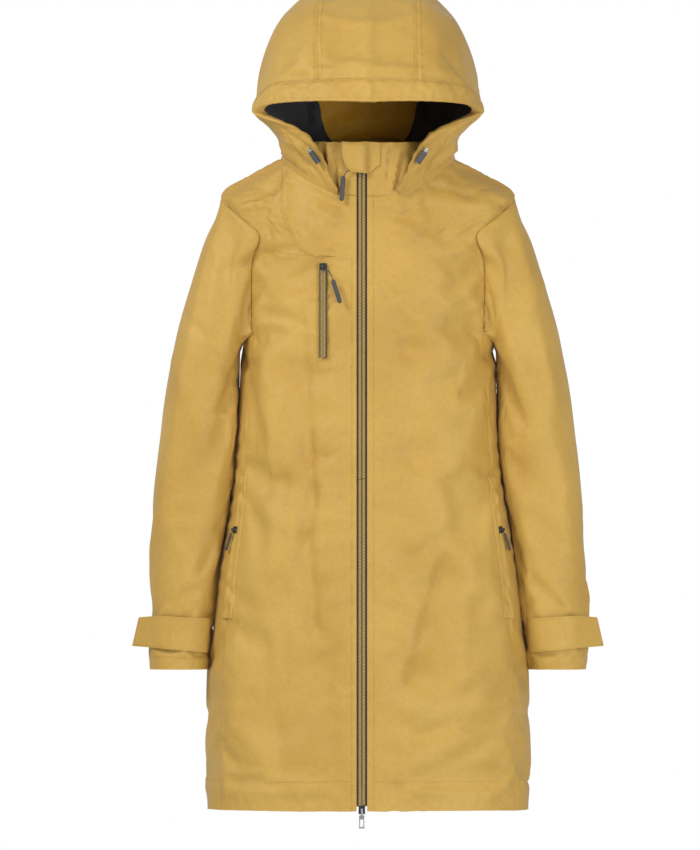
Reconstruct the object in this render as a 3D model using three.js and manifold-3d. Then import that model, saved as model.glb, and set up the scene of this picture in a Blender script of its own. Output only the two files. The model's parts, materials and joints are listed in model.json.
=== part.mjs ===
// A long hooded rain coat, zipped closed and hanging in the shape it has when worn.
// Millimetres, +Z up, the front towards -Y and the wearer's left towards +X.
// The origin is where a hook bears, under the hanger loop inside the back of the neck.
import * as THREE from "three";
import { mergeVertices } from "three/addons/utils/BufferGeometryUtils.js";
import Module from "manifold-3d";

// ---------------------------------------------------------------- driving dimensions
const HEM_Z = -935; // the lower edge of the body
const NECK_FRONT_Z = -46; // the neck seam at the zip
const COLLAR_TOP_Z = 32; // the collar's upper edge at the zip
const SKIRT_TOP_Z = -455; // the two-way zip opens the fronts below this
const LOOP_Y = 75; // the hanger loop lies this far behind the middle of the body
const ZIP_X = -9; // the closed zip lies a little to the wearer's right of the middle
const ZIP_LEAN = 0.0497; // the zip comes forward by this share of its drop
const ZIP_Y_AT_NECK = -92; // the zip's outer plane at the neck seam
const CLOTH = 2.4; // shell fabric with its turned seams
const LINING = 1.4;
const LINING_DEPTH = 8; // the lining's outer face, in from the shell's
const BAG_DEPTH = 4.4;
const SEAM_GAP = 0.9; // left between panels that are sewn edge to edge
const ROUNDNESS = 2 / 2.3; // of the oval cross sections of body and sleeves
const COLLAR_ROUNDNESS = 0.68;
const SIDE_SEAM = THREE.MathUtils.degToRad(-25); // front panel to side panel
const BACK_SEAM = THREE.MathUtils.degToRad(30); // side panel to back panel

const ZIP = { gap: 0.7, teeth: 3.8, tape: 11.4, edge: 8.4, top: 27, bottom: HEM_Z + 9 };
const CHEST_ZIP = { x: -65, top: -143, length: 137, width: 11 };
const POCKET_ZIP = { top: -446, length: 200, width: 8, slider: 0.6 };
const YOKE_Z = -142;

// Rings of the body from hem to neck: heights at side, front and back, half width, depth behind the middle.
const BODY_RINGS = [
  { side: HEM_Z, front: HEM_Z, back: HEM_Z, half: 233, rear: 130 },
  { side: -790, front: -790, back: -790, half: 230, rear: 127 },
  { side: -620, front: -620, back: -620, half: 211, rear: 119 },
  { side: -430, front: -430, back: -430, half: 184, rear: 106 },
  { side: -240, front: -240, back: -240, half: 179, rear: 110 },
  { side: -140, front: -150, back: -140, half: 186, rear: 107 },
  { side: -46, front: -95, back: -50, half: 213, rear: 98 },
  { side: -12, front: -66, back: -14, half: 168, rear: 90 },
  { side: 12, front: NECK_FRONT_Z, back: 15, half: 120, rear: 80 },
];

// Rings of the left sleeve from armhole to cuff: outer and inner points [x, z], half depth, and how far the
// front and back of the ring dip towards the body.
const SLEEVE_Y = 8;
const SLEEVE_RINGS = [
  { outer: [219, -47], inner: [185, -246], depth: 56, dip: 18 },
  { outer: [243, -105], inner: [186, -268], depth: 69, dip: 8 },
  { outer: [262, -165], inner: [188, -293], depth: 74, dip: 2 },
  { outer: [287, -255], inner: [190, -345], depth: 73, dip: 0 },
  { outer: [306, -370], inner: [192, -425], depth: 69, dip: 0 },
  { outer: [318, -500], inner: [206, -530], depth: 64, dip: 0 },
  { outer: [321, -620], inner: [222, -635], depth: 57, dip: 0 },
  { outer: [317, -732], inner: [231, -732], depth: 50, dip: 0 },
];
const SLEEVE_SEAM = THREE.MathUtils.degToRad(140);

// The left half of the hood as a net of points. Rows run from the face opening over the crown to the back of
// the neck, and each row runs from the crown line down to the neck seam.
const HOOD_NET = [
  [[0, -174, 90], [74, -162, 91], [138, -128, 88], [166, -96, 75], [90, -104, 42], [45, -99, -37]],
  [[0, -160, 136], [72, -148, 135], [136, -110, 128], [167, -66, 84], [122, -80, 36], [96, -70, -8]],
  [[0, -124, 190], [72, -114, 189], [134, -80, 172], [164, -38, 102], [131, -38, 42], [124, -22, 15]],
  [[0, -66, 240], [70, -60, 238], [124, -36, 216], [159, -8, 124], [132, -2, 54], [123, 8, 20]],
  [[0, 6, 264], [68, 8, 260], [113, 16, 228], [144, 28, 138], [126, 34, 60], [113, 38, 21]],
  [[0, 74, 240], [58, 74, 232], [96, 68, 194], [116, 66, 118], [104, 64, 58], [94, 60, 20]],
  [[0, 112, 168], [50, 110, 160], [78, 98, 130], [88, 92, 88], [82, 84, 48], [76, 74, 20]],
  [[0, 114, 90], [44, 112, 86], [66, 104, 70], [71, 95, 55], [68, 88, 38], [66, 80, 20]],
  [[0, 89, 22], [36, 88, 22], [43, 87, 21.5], [48, 86, 21], [53, 85, 20.5], [58, 84, 20]],
];
const HOOD_CENTRE_SHARE = 0.2; // of the way round a row, crown line to neck seam, that the centre strip takes
const BRIM_SHARE = 0.085; // of the way back from the face opening

const COLOUR = { shell: 0xcba45a, lining: 0x14161d, dark: 0x3c3e42, zip: 0x8f7640, metal: 0x9b9d9f };

// ---------------------------------------------------------------- small tools
const wasm = await Module();
wasm.setup();
const { lerp, clamp, smoothstep, degToRad } = THREE.MathUtils;
const coat = new THREE.Group();
coat.position.y = -LOOP_Y;

function material(name) {
  const metal = name === "metal";
  return new THREE.MeshStandardMaterial({
    color: COLOUR[name],
    roughness: metal ? 0.35 : 0.75,
    metalness: metal ? 0.9 : 0,
  });
}

function add(name, geometry, colour = "shell", parent = coat) {
  const mesh = new THREE.Mesh(geometry, material(colour));
  mesh.name = name;
  parent.add(mesh);
  return mesh;
}

// A smooth value at t, from 0 to 1, through evenly spaced values, with no overshoot.
function through(values, t) {
  const x = clamp(t, 0, 1) * (values.length - 1);
  const i = Math.min(Math.floor(x), values.length - 2);
  const step = (k) => values[k + 1] - values[k];
  const slope = (k) => {
    if (k === 0) return step(0);
    if (k === values.length - 1) return step(k - 1);
    const [before, after] = [step(k - 1), step(k)];
    return before * after > 0 ? (2 * before * after) / (before + after) : 0;
  };
  const f = x - i;
  const [f2, f3] = [f * f, f * f * f];
  return (
    (2 * f3 - 3 * f2 + 1) * values[i] +
    (f3 - 2 * f2 + f) * slope(i) +
    (3 * f2 - 2 * f3) * values[i + 1] +
    (f3 - f2) * slope(i + 1)
  );
}

// A closed sheet of cloth: place(s, t) gives its face for s and t from 0 to 1, outer moves it out along the
// surface's normal, and the sheet is thick on the inner side.
function sheet(place, columns, rows, { outer = 0, thick = CLOTH, flip = false, ring = false } = {}) {
  const normalAt = (s, t) => {
    const [before, after] = [(x) => Math.max(x - 0.004, 0), (x) => Math.min(x + 0.004, 1)];
    const across = place(after(s), t).sub(place(before(s), t));
    const along = place(s, after(t)).sub(place(s, before(t)));
    return across.cross(along).normalize().multiplyScalar(flip ? -1 : 1);
  };
  const around = ring ? columns : columns + 1;
  const positions = [];
  for (const depth of [outer, outer - thick])
    for (let j = 0; j <= rows; j++)
      for (let i = 0; i < around; i++) {
        const [s, t] = [i / columns, j / rows];
        positions.push(...place(s, t).addScaledVector(normalAt(s, t), depth));
      }
  const layer = around * (rows + 1);
  const at = (side, i, j) => side * layer + j * around + (i % around);
  const faces = [];
  const quad = (a, b, c, d) => faces.push(...(flip ? [a, c, b, a, d, c] : [a, b, c, a, c, d]));
  for (let j = 0; j < rows; j++)
    for (let i = 0; i < columns; i++) {
      quad(at(0, i, j), at(0, i + 1, j), at(0, i + 1, j + 1), at(0, i, j + 1));
      quad(at(1, i, j), at(1, i, j + 1), at(1, i + 1, j + 1), at(1, i + 1, j));
    }
  for (let i = 0; i < columns; i++) {
    quad(at(1, i, 0), at(1, i + 1, 0), at(0, i + 1, 0), at(0, i, 0));
    quad(at(0, i, rows), at(0, i + 1, rows), at(1, i + 1, rows), at(1, i, rows));
  }
  for (let j = 0; j < rows && !ring; j++) {
    quad(at(0, 0, j), at(0, 0, j + 1), at(1, 0, j + 1), at(1, 0, j));
    quad(at(1, columns, j), at(1, columns, j + 1), at(0, columns, j + 1), at(0, columns, j));
  }
  const geometry = new THREE.BufferGeometry();
  geometry.setAttribute("position", new THREE.Float32BufferAttribute(positions, 3));
  geometry.setIndex(faces);
  return geometry;
}

// The same shape on the other side of the body.
function mirrored(geometry) {
  const copy = geometry.index ? geometry.clone() : mergeVertices(geometry);
  copy.scale(-1, 1, 1);
  const index = copy.index.array;
  for (let i = 0; i < index.length; i += 3) [index[i + 1], index[i + 2]] = [index[i + 2], index[i + 1]];
  return copy;
}

// Left and right copies of one sheet. The wearer's left is +X.
function pair(name, geometry, colour) {
  add(`${name}_left`, geometry, colour);
  add(`${name}_right`, mirrored(geometry), colour);
}

function solid(geometry) {
  const bare = geometry.clone();
  bare.deleteAttribute("normal");
  bare.deleteAttribute("uv");
  const merged = mergeVertices(bare, 1e-3);
  return new wasm.Manifold(
    new wasm.Mesh({
      numProp: 3,
      vertProperties: merged.attributes.position.array,
      triVerts: new Uint32Array(merged.index.array),
    }),
  );
}

// Joins geometries into one body, then cuts others away from it.
function joined(parts, cuts = []) {
  let body = solid(parts[0]);
  for (const part of parts.slice(1)) body = body.add(solid(part));
  for (const cut of cuts) body = body.subtract(solid(cut));
  const mesh = body.getMesh();
  const geometry = new THREE.BufferGeometry();
  geometry.setAttribute("position", new THREE.BufferAttribute(new Float32Array(mesh.vertProperties), 3));
  geometry.setIndex(new THREE.BufferAttribute(new Uint32Array(mesh.triVerts), 1));
  return geometry;
}

function box(x, y, z) {
  return new THREE.BoxGeometry(x[1] - x[0], y[1] - y[0], z[1] - z[0]).translate(
    (x[0] + x[1]) / 2,
    (y[0] + y[1]) / 2,
    (z[0] + z[1]) / 2,
  );
}

function plate(outline, y) {
  const shape = new THREE.Shape(outline.map(([x, z]) => new THREE.Vector2(x, z)));
  const geometry = new THREE.ExtrudeGeometry(shape, { depth: y[1] - y[0], bevelEnabled: false });
  return geometry.rotateX(Math.PI / 2).translate(0, y[1], 0);
}

// A bar along X.
function bar(radius, x, y, z, sides = 12) {
  return new THREE.CylinderGeometry(radius, radius, x[1] - x[0], sides)
    .rotateZ(Math.PI / 2)
    .translate((x[0] + x[1]) / 2, y, z);
}

function tube(points, radius, sides = 3) {
  const curve = new THREE.CatmullRomCurve3(points.map((p) => new THREE.Vector3(...p)));
  const section = new THREE.Shape();
  section.absarc(0, 0, radius, 0, 2 * Math.PI, false);
  const steps = points.length > 9 ? points.length - 1 : 2 * (points.length - 1);
  return new THREE.ExtrudeGeometry(section, { steps, curveSegments: sides, extrudePath: curve });
}

// ---------------------------------------------------------------- body
const ringAt = (v) =>
  Object.fromEntries(Object.keys(BODY_RINGS[0]).map((key) => [key, through(BODY_RINGS.map((r) => r[key]), v)]));

const zipY = (z) => ZIP_Y_AT_NECK - (NECK_FRONT_Z - z) * ZIP_LEAN;

const bulge = (value, power = ROUNDNESS) => Math.sign(value) * Math.abs(value) ** power;

// A point of the body: phi turns from the front (-90 degrees) by the wearer's left (0) to the back (90).
function bodyPoint(phi, v) {
  const ring = ringAt(v);
  const [across, along] = [Math.cos(phi), Math.sin(phi)];
  const depth = along < 0 ? -zipY(ring.front) : ring.rear;
  const height = along < 0 ? ring.front : ring.back;
  const z = lerp(height, ring.side, across * across);
  return new THREE.Vector3(ring.half * bulge(across), depth * bulge(along), z);
}

// The ring parameter whose front height is z.
function levelAt(z) {
  let [low, high] = [0, 1];
  for (let i = 0; i < 40; i++) {
    const middle = (low + high) / 2;
    if (ringAt(middle).front < z) low = middle;
    else high = middle;
  }
  return (low + high) / 2;
}

const angleAtX = (x, v) => -Math.acos(bulge(x / ringAt(v).half, 1 / ROUNDNESS));

// side is 1 for the wearer's left front and -1 for the right, which is built mirrored.
const zipEdge = (side) => (v) => angleAtX(ZIP.edge + side * ZIP_X, v);

const ARMPIT = levelAt(-240);
const SHOULDER = 6 / 8;
// The seam's distance in from the side, as shares of that at the armpit, which ends in nothing at the shoulder.
const ARMHOLE_FRONT = [1, 1, 1.1, 1.62, 0];
const ARMHOLE_BACK = [1, 0.97, 0.9, 0.72, 0];
const armhole = (angle, shares) => (v) => angle * through(shares, (v - ARMPIT) / (SHOULDER - ARMPIT));
const armholeFront = armhole(SIDE_SEAM, ARMHOLE_FRONT);
const armholeBack = armhole(BACK_SEAM, ARMHOLE_BACK);
const inFrom = (edge, gap) => (v) => edge(v) + gap / ringAt(v).half;

// A panel of the body between two edges, with its rows at the given ring levels.
function panel(from, to, levels, columns, options) {
  const rows = levels.length - 1;
  const place = (s, t) => {
    const x = clamp(t * rows, 0, rows);
    const i = Math.min(Math.floor(x), rows - 1);
    const v = lerp(levels[i], levels[i + 1], x - i);
    return bodyPoint(lerp(from(v), to(v), s), v);
  };
  return sheet(place, columns, rows, options);
}

const levels = (...heights) => heights.map(levelAt);
const NECK = 0.995;
const SKIRT_TOP = levelAt(SKIRT_TOP_Z);
const SKIRT_LEVELS = [0, ...levels(-860, -780, -690, -610, -530), SKIRT_TOP];
const UPPER_LEVELS = [levelAt(SKIRT_TOP_Z + SEAM_GAP), ...levels(-380, -310, -240, -190, -146, -138, -122, -108)];
const TOP_LEVELS = [SHOULDER + 0.06, SHOULDER + 0.14, NECK];

const sideSeam = () => SIDE_SEAM;
const backSeam = () => BACK_SEAM;
const hemToArmpit = [0, ...levels(-860, -780, -690, -610, -530, -455, -380, -310), ARMPIT];
const sideFrom = inFrom(sideSeam, SEAM_GAP);
const sideTo = inFrom(backSeam, -SEAM_GAP);
pair("side_panel", panel(sideFrom, sideTo, hemToArmpit, 3));

const backEdge = inFrom(armholeBack, SEAM_GAP);
const backLevels = [0, ...levels(-780, -610, -455, -310, -240, -190, -150, -120), SHOULDER, 0.86, NECK];
add("back_panel", panel(backEdge, (v) => Math.PI - backEdge(v), backLevels, 10));

const frontEdge = inFrom(armholeFront, -SEAM_GAP);
const upperLevels = [...UPPER_LEVELS, SHOULDER, ...TOP_LEVELS];
add("front_panel_left", panel(zipEdge(1), frontEdge, upperLevels, 6));

// The chest yoke on the wearer's right ends in a curve that sweeps from the neck seam down to the zip.
const YOKE_CURVE = { heights: [-138, -128, -99, -77, 14], x: [69, 94, 113, 122, 132] };
function yokeX(z) {
  const { heights, x } = YOKE_CURVE;
  const i = clamp(heights.findIndex((h) => h > z) - 1, 0, heights.length - 2);
  return lerp(x[i], x[i + 1], clamp((z - heights[i]) / (heights[i + 1] - heights[i]), 0, 1));
}
function yokeEdge(v) {
  const x = yokeX(ringAt(v).front);
  return Math.min(angleAtX(Math.min(x, ringAt(v).half * 0.93), v), frontEdge(v) - degToRad(4));
}
const rightInner = (v) => (ringAt(v).front > YOKE_Z ? yokeEdge(v) + 0.012 : zipEdge(-1)(v));
add("front_panel_right", mirrored(panel(rightInner, frontEdge, upperLevels, 6)));
const yokeLevels = [...levels(-138, -122, -108), SHOULDER, ...TOP_LEVELS];
add("chest_yoke", mirrored(panel(zipEdge(-1), yokeEdge, yokeLevels, 4)));

const skirtEdge = inFrom(sideSeam, -SEAM_GAP);
add("front_skirt_left", panel(zipEdge(1), skirtEdge, SKIRT_LEVELS, 5));
add("front_skirt_right", mirrored(panel(zipEdge(-1), skirtEdge, SKIRT_LEVELS, 5)));

// ---------------------------------------------------------------- lining and pocket bags
const lined = { outer: -LINING_DEPTH, thick: LINING };
const facing = 20; // the lining stops this far from the zip
const liningEdge = (side) => (v) => angleAtX(ZIP.edge + side * ZIP_X + facing, v);
const liningSkirtLevels = [levelAt(HEM_Z + 28), ...SKIRT_LEVELS.slice(1)];
for (const [name, side, turn] of [["left", 1, (g) => g], ["right", -1, mirrored]])
  add(`lining_skirt_${name}`, turn(panel(liningEdge(side), skirtEdge, liningSkirtLevels, 5, lined)), "lining");
const liningBackLevels = [levelAt(HEM_Z + 28), ...levels(-780, -610), SKIRT_TOP];
add("lining_back", panel(sideFrom, (v) => Math.PI - sideFrom(v), liningBackLevels, 12, lined), "lining");
const liningUpperLevels = [levelAt(SKIRT_TOP_Z + 2), ...levels(-380, -310), levelAt(-256)];
const liningFrom = liningEdge(1);
const liningTo = (v) => Math.PI - liningEdge(-1)(v);
add("lining_upper", panel(liningFrom, liningTo, liningUpperLevels, 16, lined), "lining");

const bagged = { outer: -BAG_DEPTH, thick: LINING };
const bagInner = () => degToRad(-62);
const bagOuter = () => degToRad(-28);
pair("pocket_bag", panel(bagInner, bagOuter, levels(-700, -610, -530, -466), 4, bagged), "lining");
const chestBagFrom = () => degToRad(-78);
const chestBagTo = () => degToRad(-48);
const chestBag = panel(chestBagFrom, chestBagTo, levels(-320, -240, -190, -150), 4, bagged);
add("chest_pocket_bag", mirrored(chestBag), "lining");

// ---------------------------------------------------------------- sleeves
// The left armhole's edge on the body, for psi from the shoulder (0) by the back to the armpit (180 degrees).
const ARMPIT_SPAN = degToRad(32);
function armholePoint(psi) {
  const turn = ((psi % (2 * Math.PI)) + 2 * Math.PI) % (2 * Math.PI);
  const fromArmpit = turn - Math.PI;
  if (Math.abs(fromArmpit) <= ARMPIT_SPAN) {
    const share = (ARMPIT_SPAN - fromArmpit) / (2 * ARMPIT_SPAN);
    return bodyPoint(lerp(SIDE_SEAM, BACK_SEAM, share), ARMPIT);
  }
  const climb = (Math.abs(fromArmpit) - ARMPIT_SPAN) / (Math.PI - ARMPIT_SPAN);
  const v = lerp(ARMPIT, SHOULDER, (1 - Math.cos(climb * Math.PI)) / 2);
  return bodyPoint(fromArmpit < 0 ? armholeBack(v) : armholeFront(v), v);
}

// A point of the left sleeve: psi turns from the outer side (0) by the back (90 degrees) to the inner side.
// Its head starts a seam's gap out from the armhole, and by the second ring it is a plain oval.
const HEAD_SHARE = 0.16;
function sleevePoint(psi, s) {
  const oval = ovalPoint(psi, s);
  if (s >= HEAD_SHARE) return oval;
  const head = armholePoint(psi);
  head.x += 3.4;
  head.z += 1.2 * Math.cos(psi);
  const start = ovalPoint(psi, 0);
  return oval.add(head.sub(start).multiplyScalar(1 - smoothstep(s, 0, HEAD_SHARE)));
}
function ovalPoint(psi, s) {
  const part = (key, n) => through(SLEEVE_RINGS.map((r) => (n === undefined ? r[key] : r[key][n])), s);
  const [outerX, outerZ, innerX, innerZ] = [part("outer", 0), part("outer", 1), part("inner", 0), part("inner", 1)];
  const [across, along] = [bulge(Math.cos(psi)), bulge(Math.sin(psi))];
  const x = (outerX + innerX) / 2 + ((outerX - innerX) / 2) * across - part("dip") * along * along;
  const z = (outerZ + innerZ) / 2 + ((outerZ - innerZ) / 2) * across;
  return new THREE.Vector3(x, SLEEVE_Y + part("depth") * along, z);
}

function sleevePatch(psiFrom, psiTo, sFrom, sTo, columns, rows, options) {
  const place = (s, t) => sleevePoint(lerp(psiFrom, psiTo, s), lerp(sFrom, sTo, t));
  return sheet(place, columns, rows, { flip: true, ...options });
}

const seamTurn = 0.014; // the gap at the sleeve's seams
const under = [SLEEVE_SEAM + seamTurn, 2 * Math.PI - SLEEVE_SEAM - seamTurn];
pair("sleeve_top", sleevePatch(-SLEEVE_SEAM, SLEEVE_SEAM, 0, 1, 14, 9));
pair("sleeve_under", sleevePatch(...under, 0, 1, 3, 9));
const sleeveLined = { outer: -6, thick: LINING, ring: true };
pair("sleeve_lining", sleevePatch(0, 2 * Math.PI, 0.17, 0.955, 12, 6, sleeveLined), "lining");

// ---------------------------------------------------------------- cuff tabs
const TAB = { level: 0.928, from: degToRad(-146), leaves: degToRad(-52), reach: 42, lift: 4.6, rootHalf: 28, tipHalf: 21 };
const SLEEVE_SHARE_PER_MM = 1 / 760;
// The tab follows the sleeve's front and then runs straight on, past the sleeve's outer edge.
function tabPoint(s, t) {
  const wrapped = 0.66;
  const psi = lerp(TAB.from, TAB.leaves, Math.min(s / wrapped, 1));
  const half = lerp(TAB.rootHalf, TAB.tipHalf, s);
  const level = TAB.level - lerp(-half, half, t) * SLEEVE_SHARE_PER_MM;
  const point = sleevePoint(psi, level);
  const tangent = sleevePoint(psi + 0.02, level).sub(sleevePoint(psi - 0.02, level)).setZ(0).normalize();
  const beyond = (Math.max(s - wrapped, 0) / (1 - wrapped)) * TAB.reach;
  const slant = s > wrapped ? (beyond / TAB.reach) * lerp(7, -7, t) : 0;
  const out = new THREE.Vector3(tangent.y, -tangent.x, 0).multiplyScalar(TAB.lift);
  return point.add(out).addScaledVector(tangent, beyond + slant);
}
pair("cuff_tab", sheet(tabPoint, 9, 2, { thick: 1.8 }));
const patchOptions = { outer: 1.6, thick: 0.9 };
pair("cuff_patch", sleevePatch(degToRad(-118), degToRad(-66), 0.965, 0.9, 4, 2, { ...patchOptions, flip: false }), "dark");

// ---------------------------------------------------------------- collar and hanger loop
// The stand collar: phi goes once round the neck, t rises from the neck seam to the upper edge.
function collarPoint(phi, t) {
  const [across, along] = [Math.cos(phi), Math.sin(phi)];
  const half = lerp(112, 84, t);
  const frontZ = lerp(NECK_FRONT_Z + 1.5, COLLAR_TOP_Z, t);
  const backZ = lerp(17, 62, t);
  const sideZ = lerp(14, 52, t);
  const depth = along < 0 ? -zipY(frontZ) : lerp(73, 66, t);
  const z = lerp(along < 0 ? frontZ : backZ, sideZ, across * across);
  return new THREE.Vector3(half * bulge(across, COLLAR_ROUNDNESS), depth * bulge(along, COLLAR_ROUNDNESS), z);
}
function collarSheet(columns, rows, low, edge, options) {
  const place = (s, t) => {
    const height = lerp(low, 1, t);
    const half = lerp(112, 84, height);
    const angle = (x) => -Math.acos(bulge(x / half, 1 / COLLAR_ROUNDNESS));
    const from = angle(edge + ZIP_X);
    const to = Math.PI - angle(edge - ZIP_X);
    return collarPoint(lerp(from, to, s), height);
  };
  return sheet(place, columns, rows, options);
}
add("collar", collarSheet(18, 2, 0, ZIP.edge, {}));
add("collar_lining", collarSheet(18, 2, 0.12, ZIP.tape + 2, { outer: -3.6, thick: 1.6 }));

// A flat woven tape whose level middle takes the hook, with its feet sewn to the inside of the back.
const LOOP = { half: 27, foot: 38, drop: 11, thick: 1.6, width: 4.5, reach: 4.3 };
const loopParts = [
  box([-LOOP.half, LOOP.half], [-LOOP.width, LOOP.width], [0, LOOP.thick]),
  ...[-1, 1].map((side) => {
    const x = [side * LOOP.half, side * (LOOP.half - LOOP.thick)].sort((a, b) => a - b);
    return box(x, [-LOOP.width, LOOP.width], [-LOOP.drop - LOOP.thick, LOOP.thick / 2]);
  }),
  ...[-1, 1].map((side) => {
    const x = [side * LOOP.foot, side * (LOOP.half - LOOP.thick)].sort((a, b) => a - b);
    return box(x, [-LOOP.width, LOOP.reach], [-LOOP.drop - LOOP.thick, -LOOP.drop]);
  }),
];
add("hanger_loop", joined(loopParts).translate(0, LOOP_Y, 0));

// ---------------------------------------------------------------- hood
function hoodPoint(a, q) {
  const row = HOOD_NET.map((points) => [0, 1, 2].map((axis) => through(points.map((p) => p[axis]), a)));
  return new THREE.Vector3(...[0, 1, 2].map((axis) => through(row.map((p) => p[axis]), q)));
}
function hoodPatch(aFrom, aTo, qFrom, qTo, columns, rows, options) {
  const place = (s, t) => hoodPoint(lerp(aFrom, aTo, s), lerp(qFrom, qTo, t));
  return sheet(place, columns, rows, options);
}
// Across the crown, from the wearer's right to the left.
function hoodStrip(share, qFrom, qTo, columns, rows, options) {
  const place = (s, t) => {
    const a = lerp(-share, share, s);
    const point = hoodPoint(Math.abs(a), lerp(qFrom, qTo, t));
    return a < 0 ? point.setX(-point.x) : point;
  };
  return sheet(place, columns, rows, options);
}
const hoodGap = 0.006;
add("hood_center", hoodStrip(HOOD_CENTRE_SHARE - hoodGap, BRIM_SHARE + hoodGap, 1, 6, 10));
pair("hood_side", hoodPatch(HOOD_CENTRE_SHARE, 1, BRIM_SHARE + hoodGap, 1, 8, 10));
add("hood_brim", hoodStrip(0.995, 0, BRIM_SHARE - hoodGap, 20, 1, { thick: 3 }));
const meshOptions = { outer: -10, thick: LINING };
pair("hood_mesh", hoodPatch(0.24, 0.9, 0.2, 0.86, 5, 7, meshOptions), "lining");

// The drawcord runs round the face opening inside the brim's hem.
const CORD_ENDS = 0.9;
const cordAt = (a) => hoodPoint(Math.abs(a), 0.11).setX(Math.sign(a) * hoodPoint(Math.abs(a), 0.11).x);
const cordPoints = Array.from({ length: 17 }, (_, i) => {
  const a = lerp(-CORD_ENDS, CORD_ENDS, i / 16);
  const p = cordAt(a);
  const inward = new THREE.Vector3(0, 30, 30).sub(p).setLength(12);
  return p.add(inward).toArray();
});
add("hood_drawcord", tube(cordPoints, 1.4), "dark");

// Cord locks on the outside of the hood's lower front edges, each a barrel and a push button.
const LOCK = { a: 0.885, q: 0.012, out: 8.6, length: 20, radius: 4.2 };
function lockFrame(side) {
  const group = new THREE.Group();
  const [point, up] = [hoodPoint(LOCK.a, LOCK.q), hoodPoint(LOCK.a - 0.08, LOCK.q)];
  const along = up.clone().sub(point).normalize();
  const back = hoodPoint(LOCK.a, LOCK.q + 0.08).sub(point).normalize();
  const out = back.clone().cross(along).normalize();
  if (out.y > 0) out.negate();
  const x = along.clone().cross(out).normalize();
  const turn = new THREE.Matrix4().makeBasis(x, along, out);
  group.setRotationFromMatrix(turn);
  group.position.copy(point.addScaledVector(out, LOCK.out));
  if (side > 0) return group;
  const mirror = new THREE.Group();
  mirror.scale.x = -1;
  mirror.add(group);
  return mirror;
}
for (const [name, side] of [["left", 1], ["right", -1]]) {
  const frame = lockFrame(side);
  coat.add(frame);
  const inner = side > 0 ? frame : frame.children[0];
  const barrel = new THREE.CylinderGeometry(LOCK.radius, LOCK.radius, LOCK.length, 12);
  const well = new THREE.CylinderGeometry(3.1, 3.1, 10, 12).translate(0, LOCK.length / 2, 0);
  const button = new THREE.CylinderGeometry(2.7, 2.7, 7, 12).translate(0, LOCK.length / 2 + 2.6, 0);
  add(`cord_lock_${name}`, joined([barrel], [well]), "dark", inner);
  add(`cord_lock_button_${name}`, button, "metal", inner);
}

// ---------------------------------------------------------------- front zip
// Its own frame stands on the zip's bottom end, with Z up the zip and -Y out of the coat.
const lean = Math.atan(ZIP_LEAN);
function zipFrame(z) {
  const frame = new THREE.Group();
  frame.position.set(ZIP_X, zipY(z), z);
  frame.rotation.x = -lean;
  coat.add(frame);
  return frame;
}
const alongZip = (drop) => drop / Math.cos(lean);

// Half of the zip: a row of teeth along the edge of its tape, which goes under the front's edge.
function zipHalf(length, side) {
  const { gap, teeth, tape } = ZIP;
  const outline = [[gap, -0.6], [teeth, -0.6], [teeth, 3.7], [tape, 3.7], [tape, 4.7], [gap, 4.7]];
  const shape = new THREE.Shape(outline.map(([x, y]) => new THREE.Vector2(x, y)));
  const geometry = new THREE.ExtrudeGeometry(shape, { depth: length, bevelEnabled: false });
  return side > 0 ? geometry : mirrored(geometry);
}
const lowerFrame = zipFrame(ZIP.bottom);
const upperFrame = zipFrame(SKIRT_TOP_Z + SEAM_GAP / 2);
for (const [name, side] of [["left", 1], ["right", -1]]) {
  const lowerLength = alongZip(SKIRT_TOP_Z - SEAM_GAP / 2 - ZIP.bottom);
  const upperLength = alongZip(ZIP.top - SKIRT_TOP_Z - SEAM_GAP / 2);
  add(`zip_lower_${name}`, zipHalf(lowerLength, side), "zip", lowerFrame);
  add(`zip_upper_${name}`, zipHalf(upperLength, side), "zip", upperFrame);
}

// A slider: plates before and behind the teeth, a thin web between the two rows, and a bar for the pull.
const SLIDER = { half: 4.8, length: 12, front: [-3.2, -1.1], back: [5.2, 6.4], web: 0.35, bar: 0.9, barY: -6.1 };
function slider() {
  const { half, length, front, back, web, barY } = SLIDER;
  const end = length / 2;
  return joined([
    plate([[-half, -end + 2], [-half + 2, -end], [half - 2, -end], [half, -end + 2], [half, end], [-half, end]], front),
    box([-half, half], back, [-end, end]),
    box([-web, web], [front[0] + 1, back[1] - 0.5], [-end, end]),
    box([-3.4, -2.3], [barY - 1, front[0] + 0.5], [-1.2, 1.2]),
    box([2.3, 3.4], [barY - 1, front[0] + 0.5], [-1.2, 1.2]),
    bar(SLIDER.bar, [-2.6, 2.6], barY, 0),
  ]);
}

// A pull: an eye round the slider's bar, a short cord, and a grip that leans sideways. The points are of the
// cord's middle line, which the grip continues.
function pull(points, grip) {
  const eye = joined([bar(2.4, [-1.7, 1.7], 0, 0, 14)], [bar(1.35, [-3, 3], 0, 0, 14)]);
  const link = tube([[0, 0, -1.9], ...points], 0.9);
  const [x, y, z] = points[points.length - 1];
  const half = grip.length / 2;
  const lobe = new THREE.CapsuleGeometry(grip.radius, grip.length, 2, 8)
    .scale(1, 1, 0.62)
    .rotateX(Math.PI / 2)
    .rotateY(-grip.lean)
    .translate(x + half * Math.sin(grip.lean), y, z - half * Math.cos(grip.lean));
  return joined([eye, link, lobe]);
}

const TOP_SLIDER_Z = -7;
const BOTTOM_SLIDER_Z = HEM_Z + 2;
const topFrame = zipFrame(TOP_SLIDER_Z);
add("zip_slider_top", slider(), "dark", topFrame);
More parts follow.
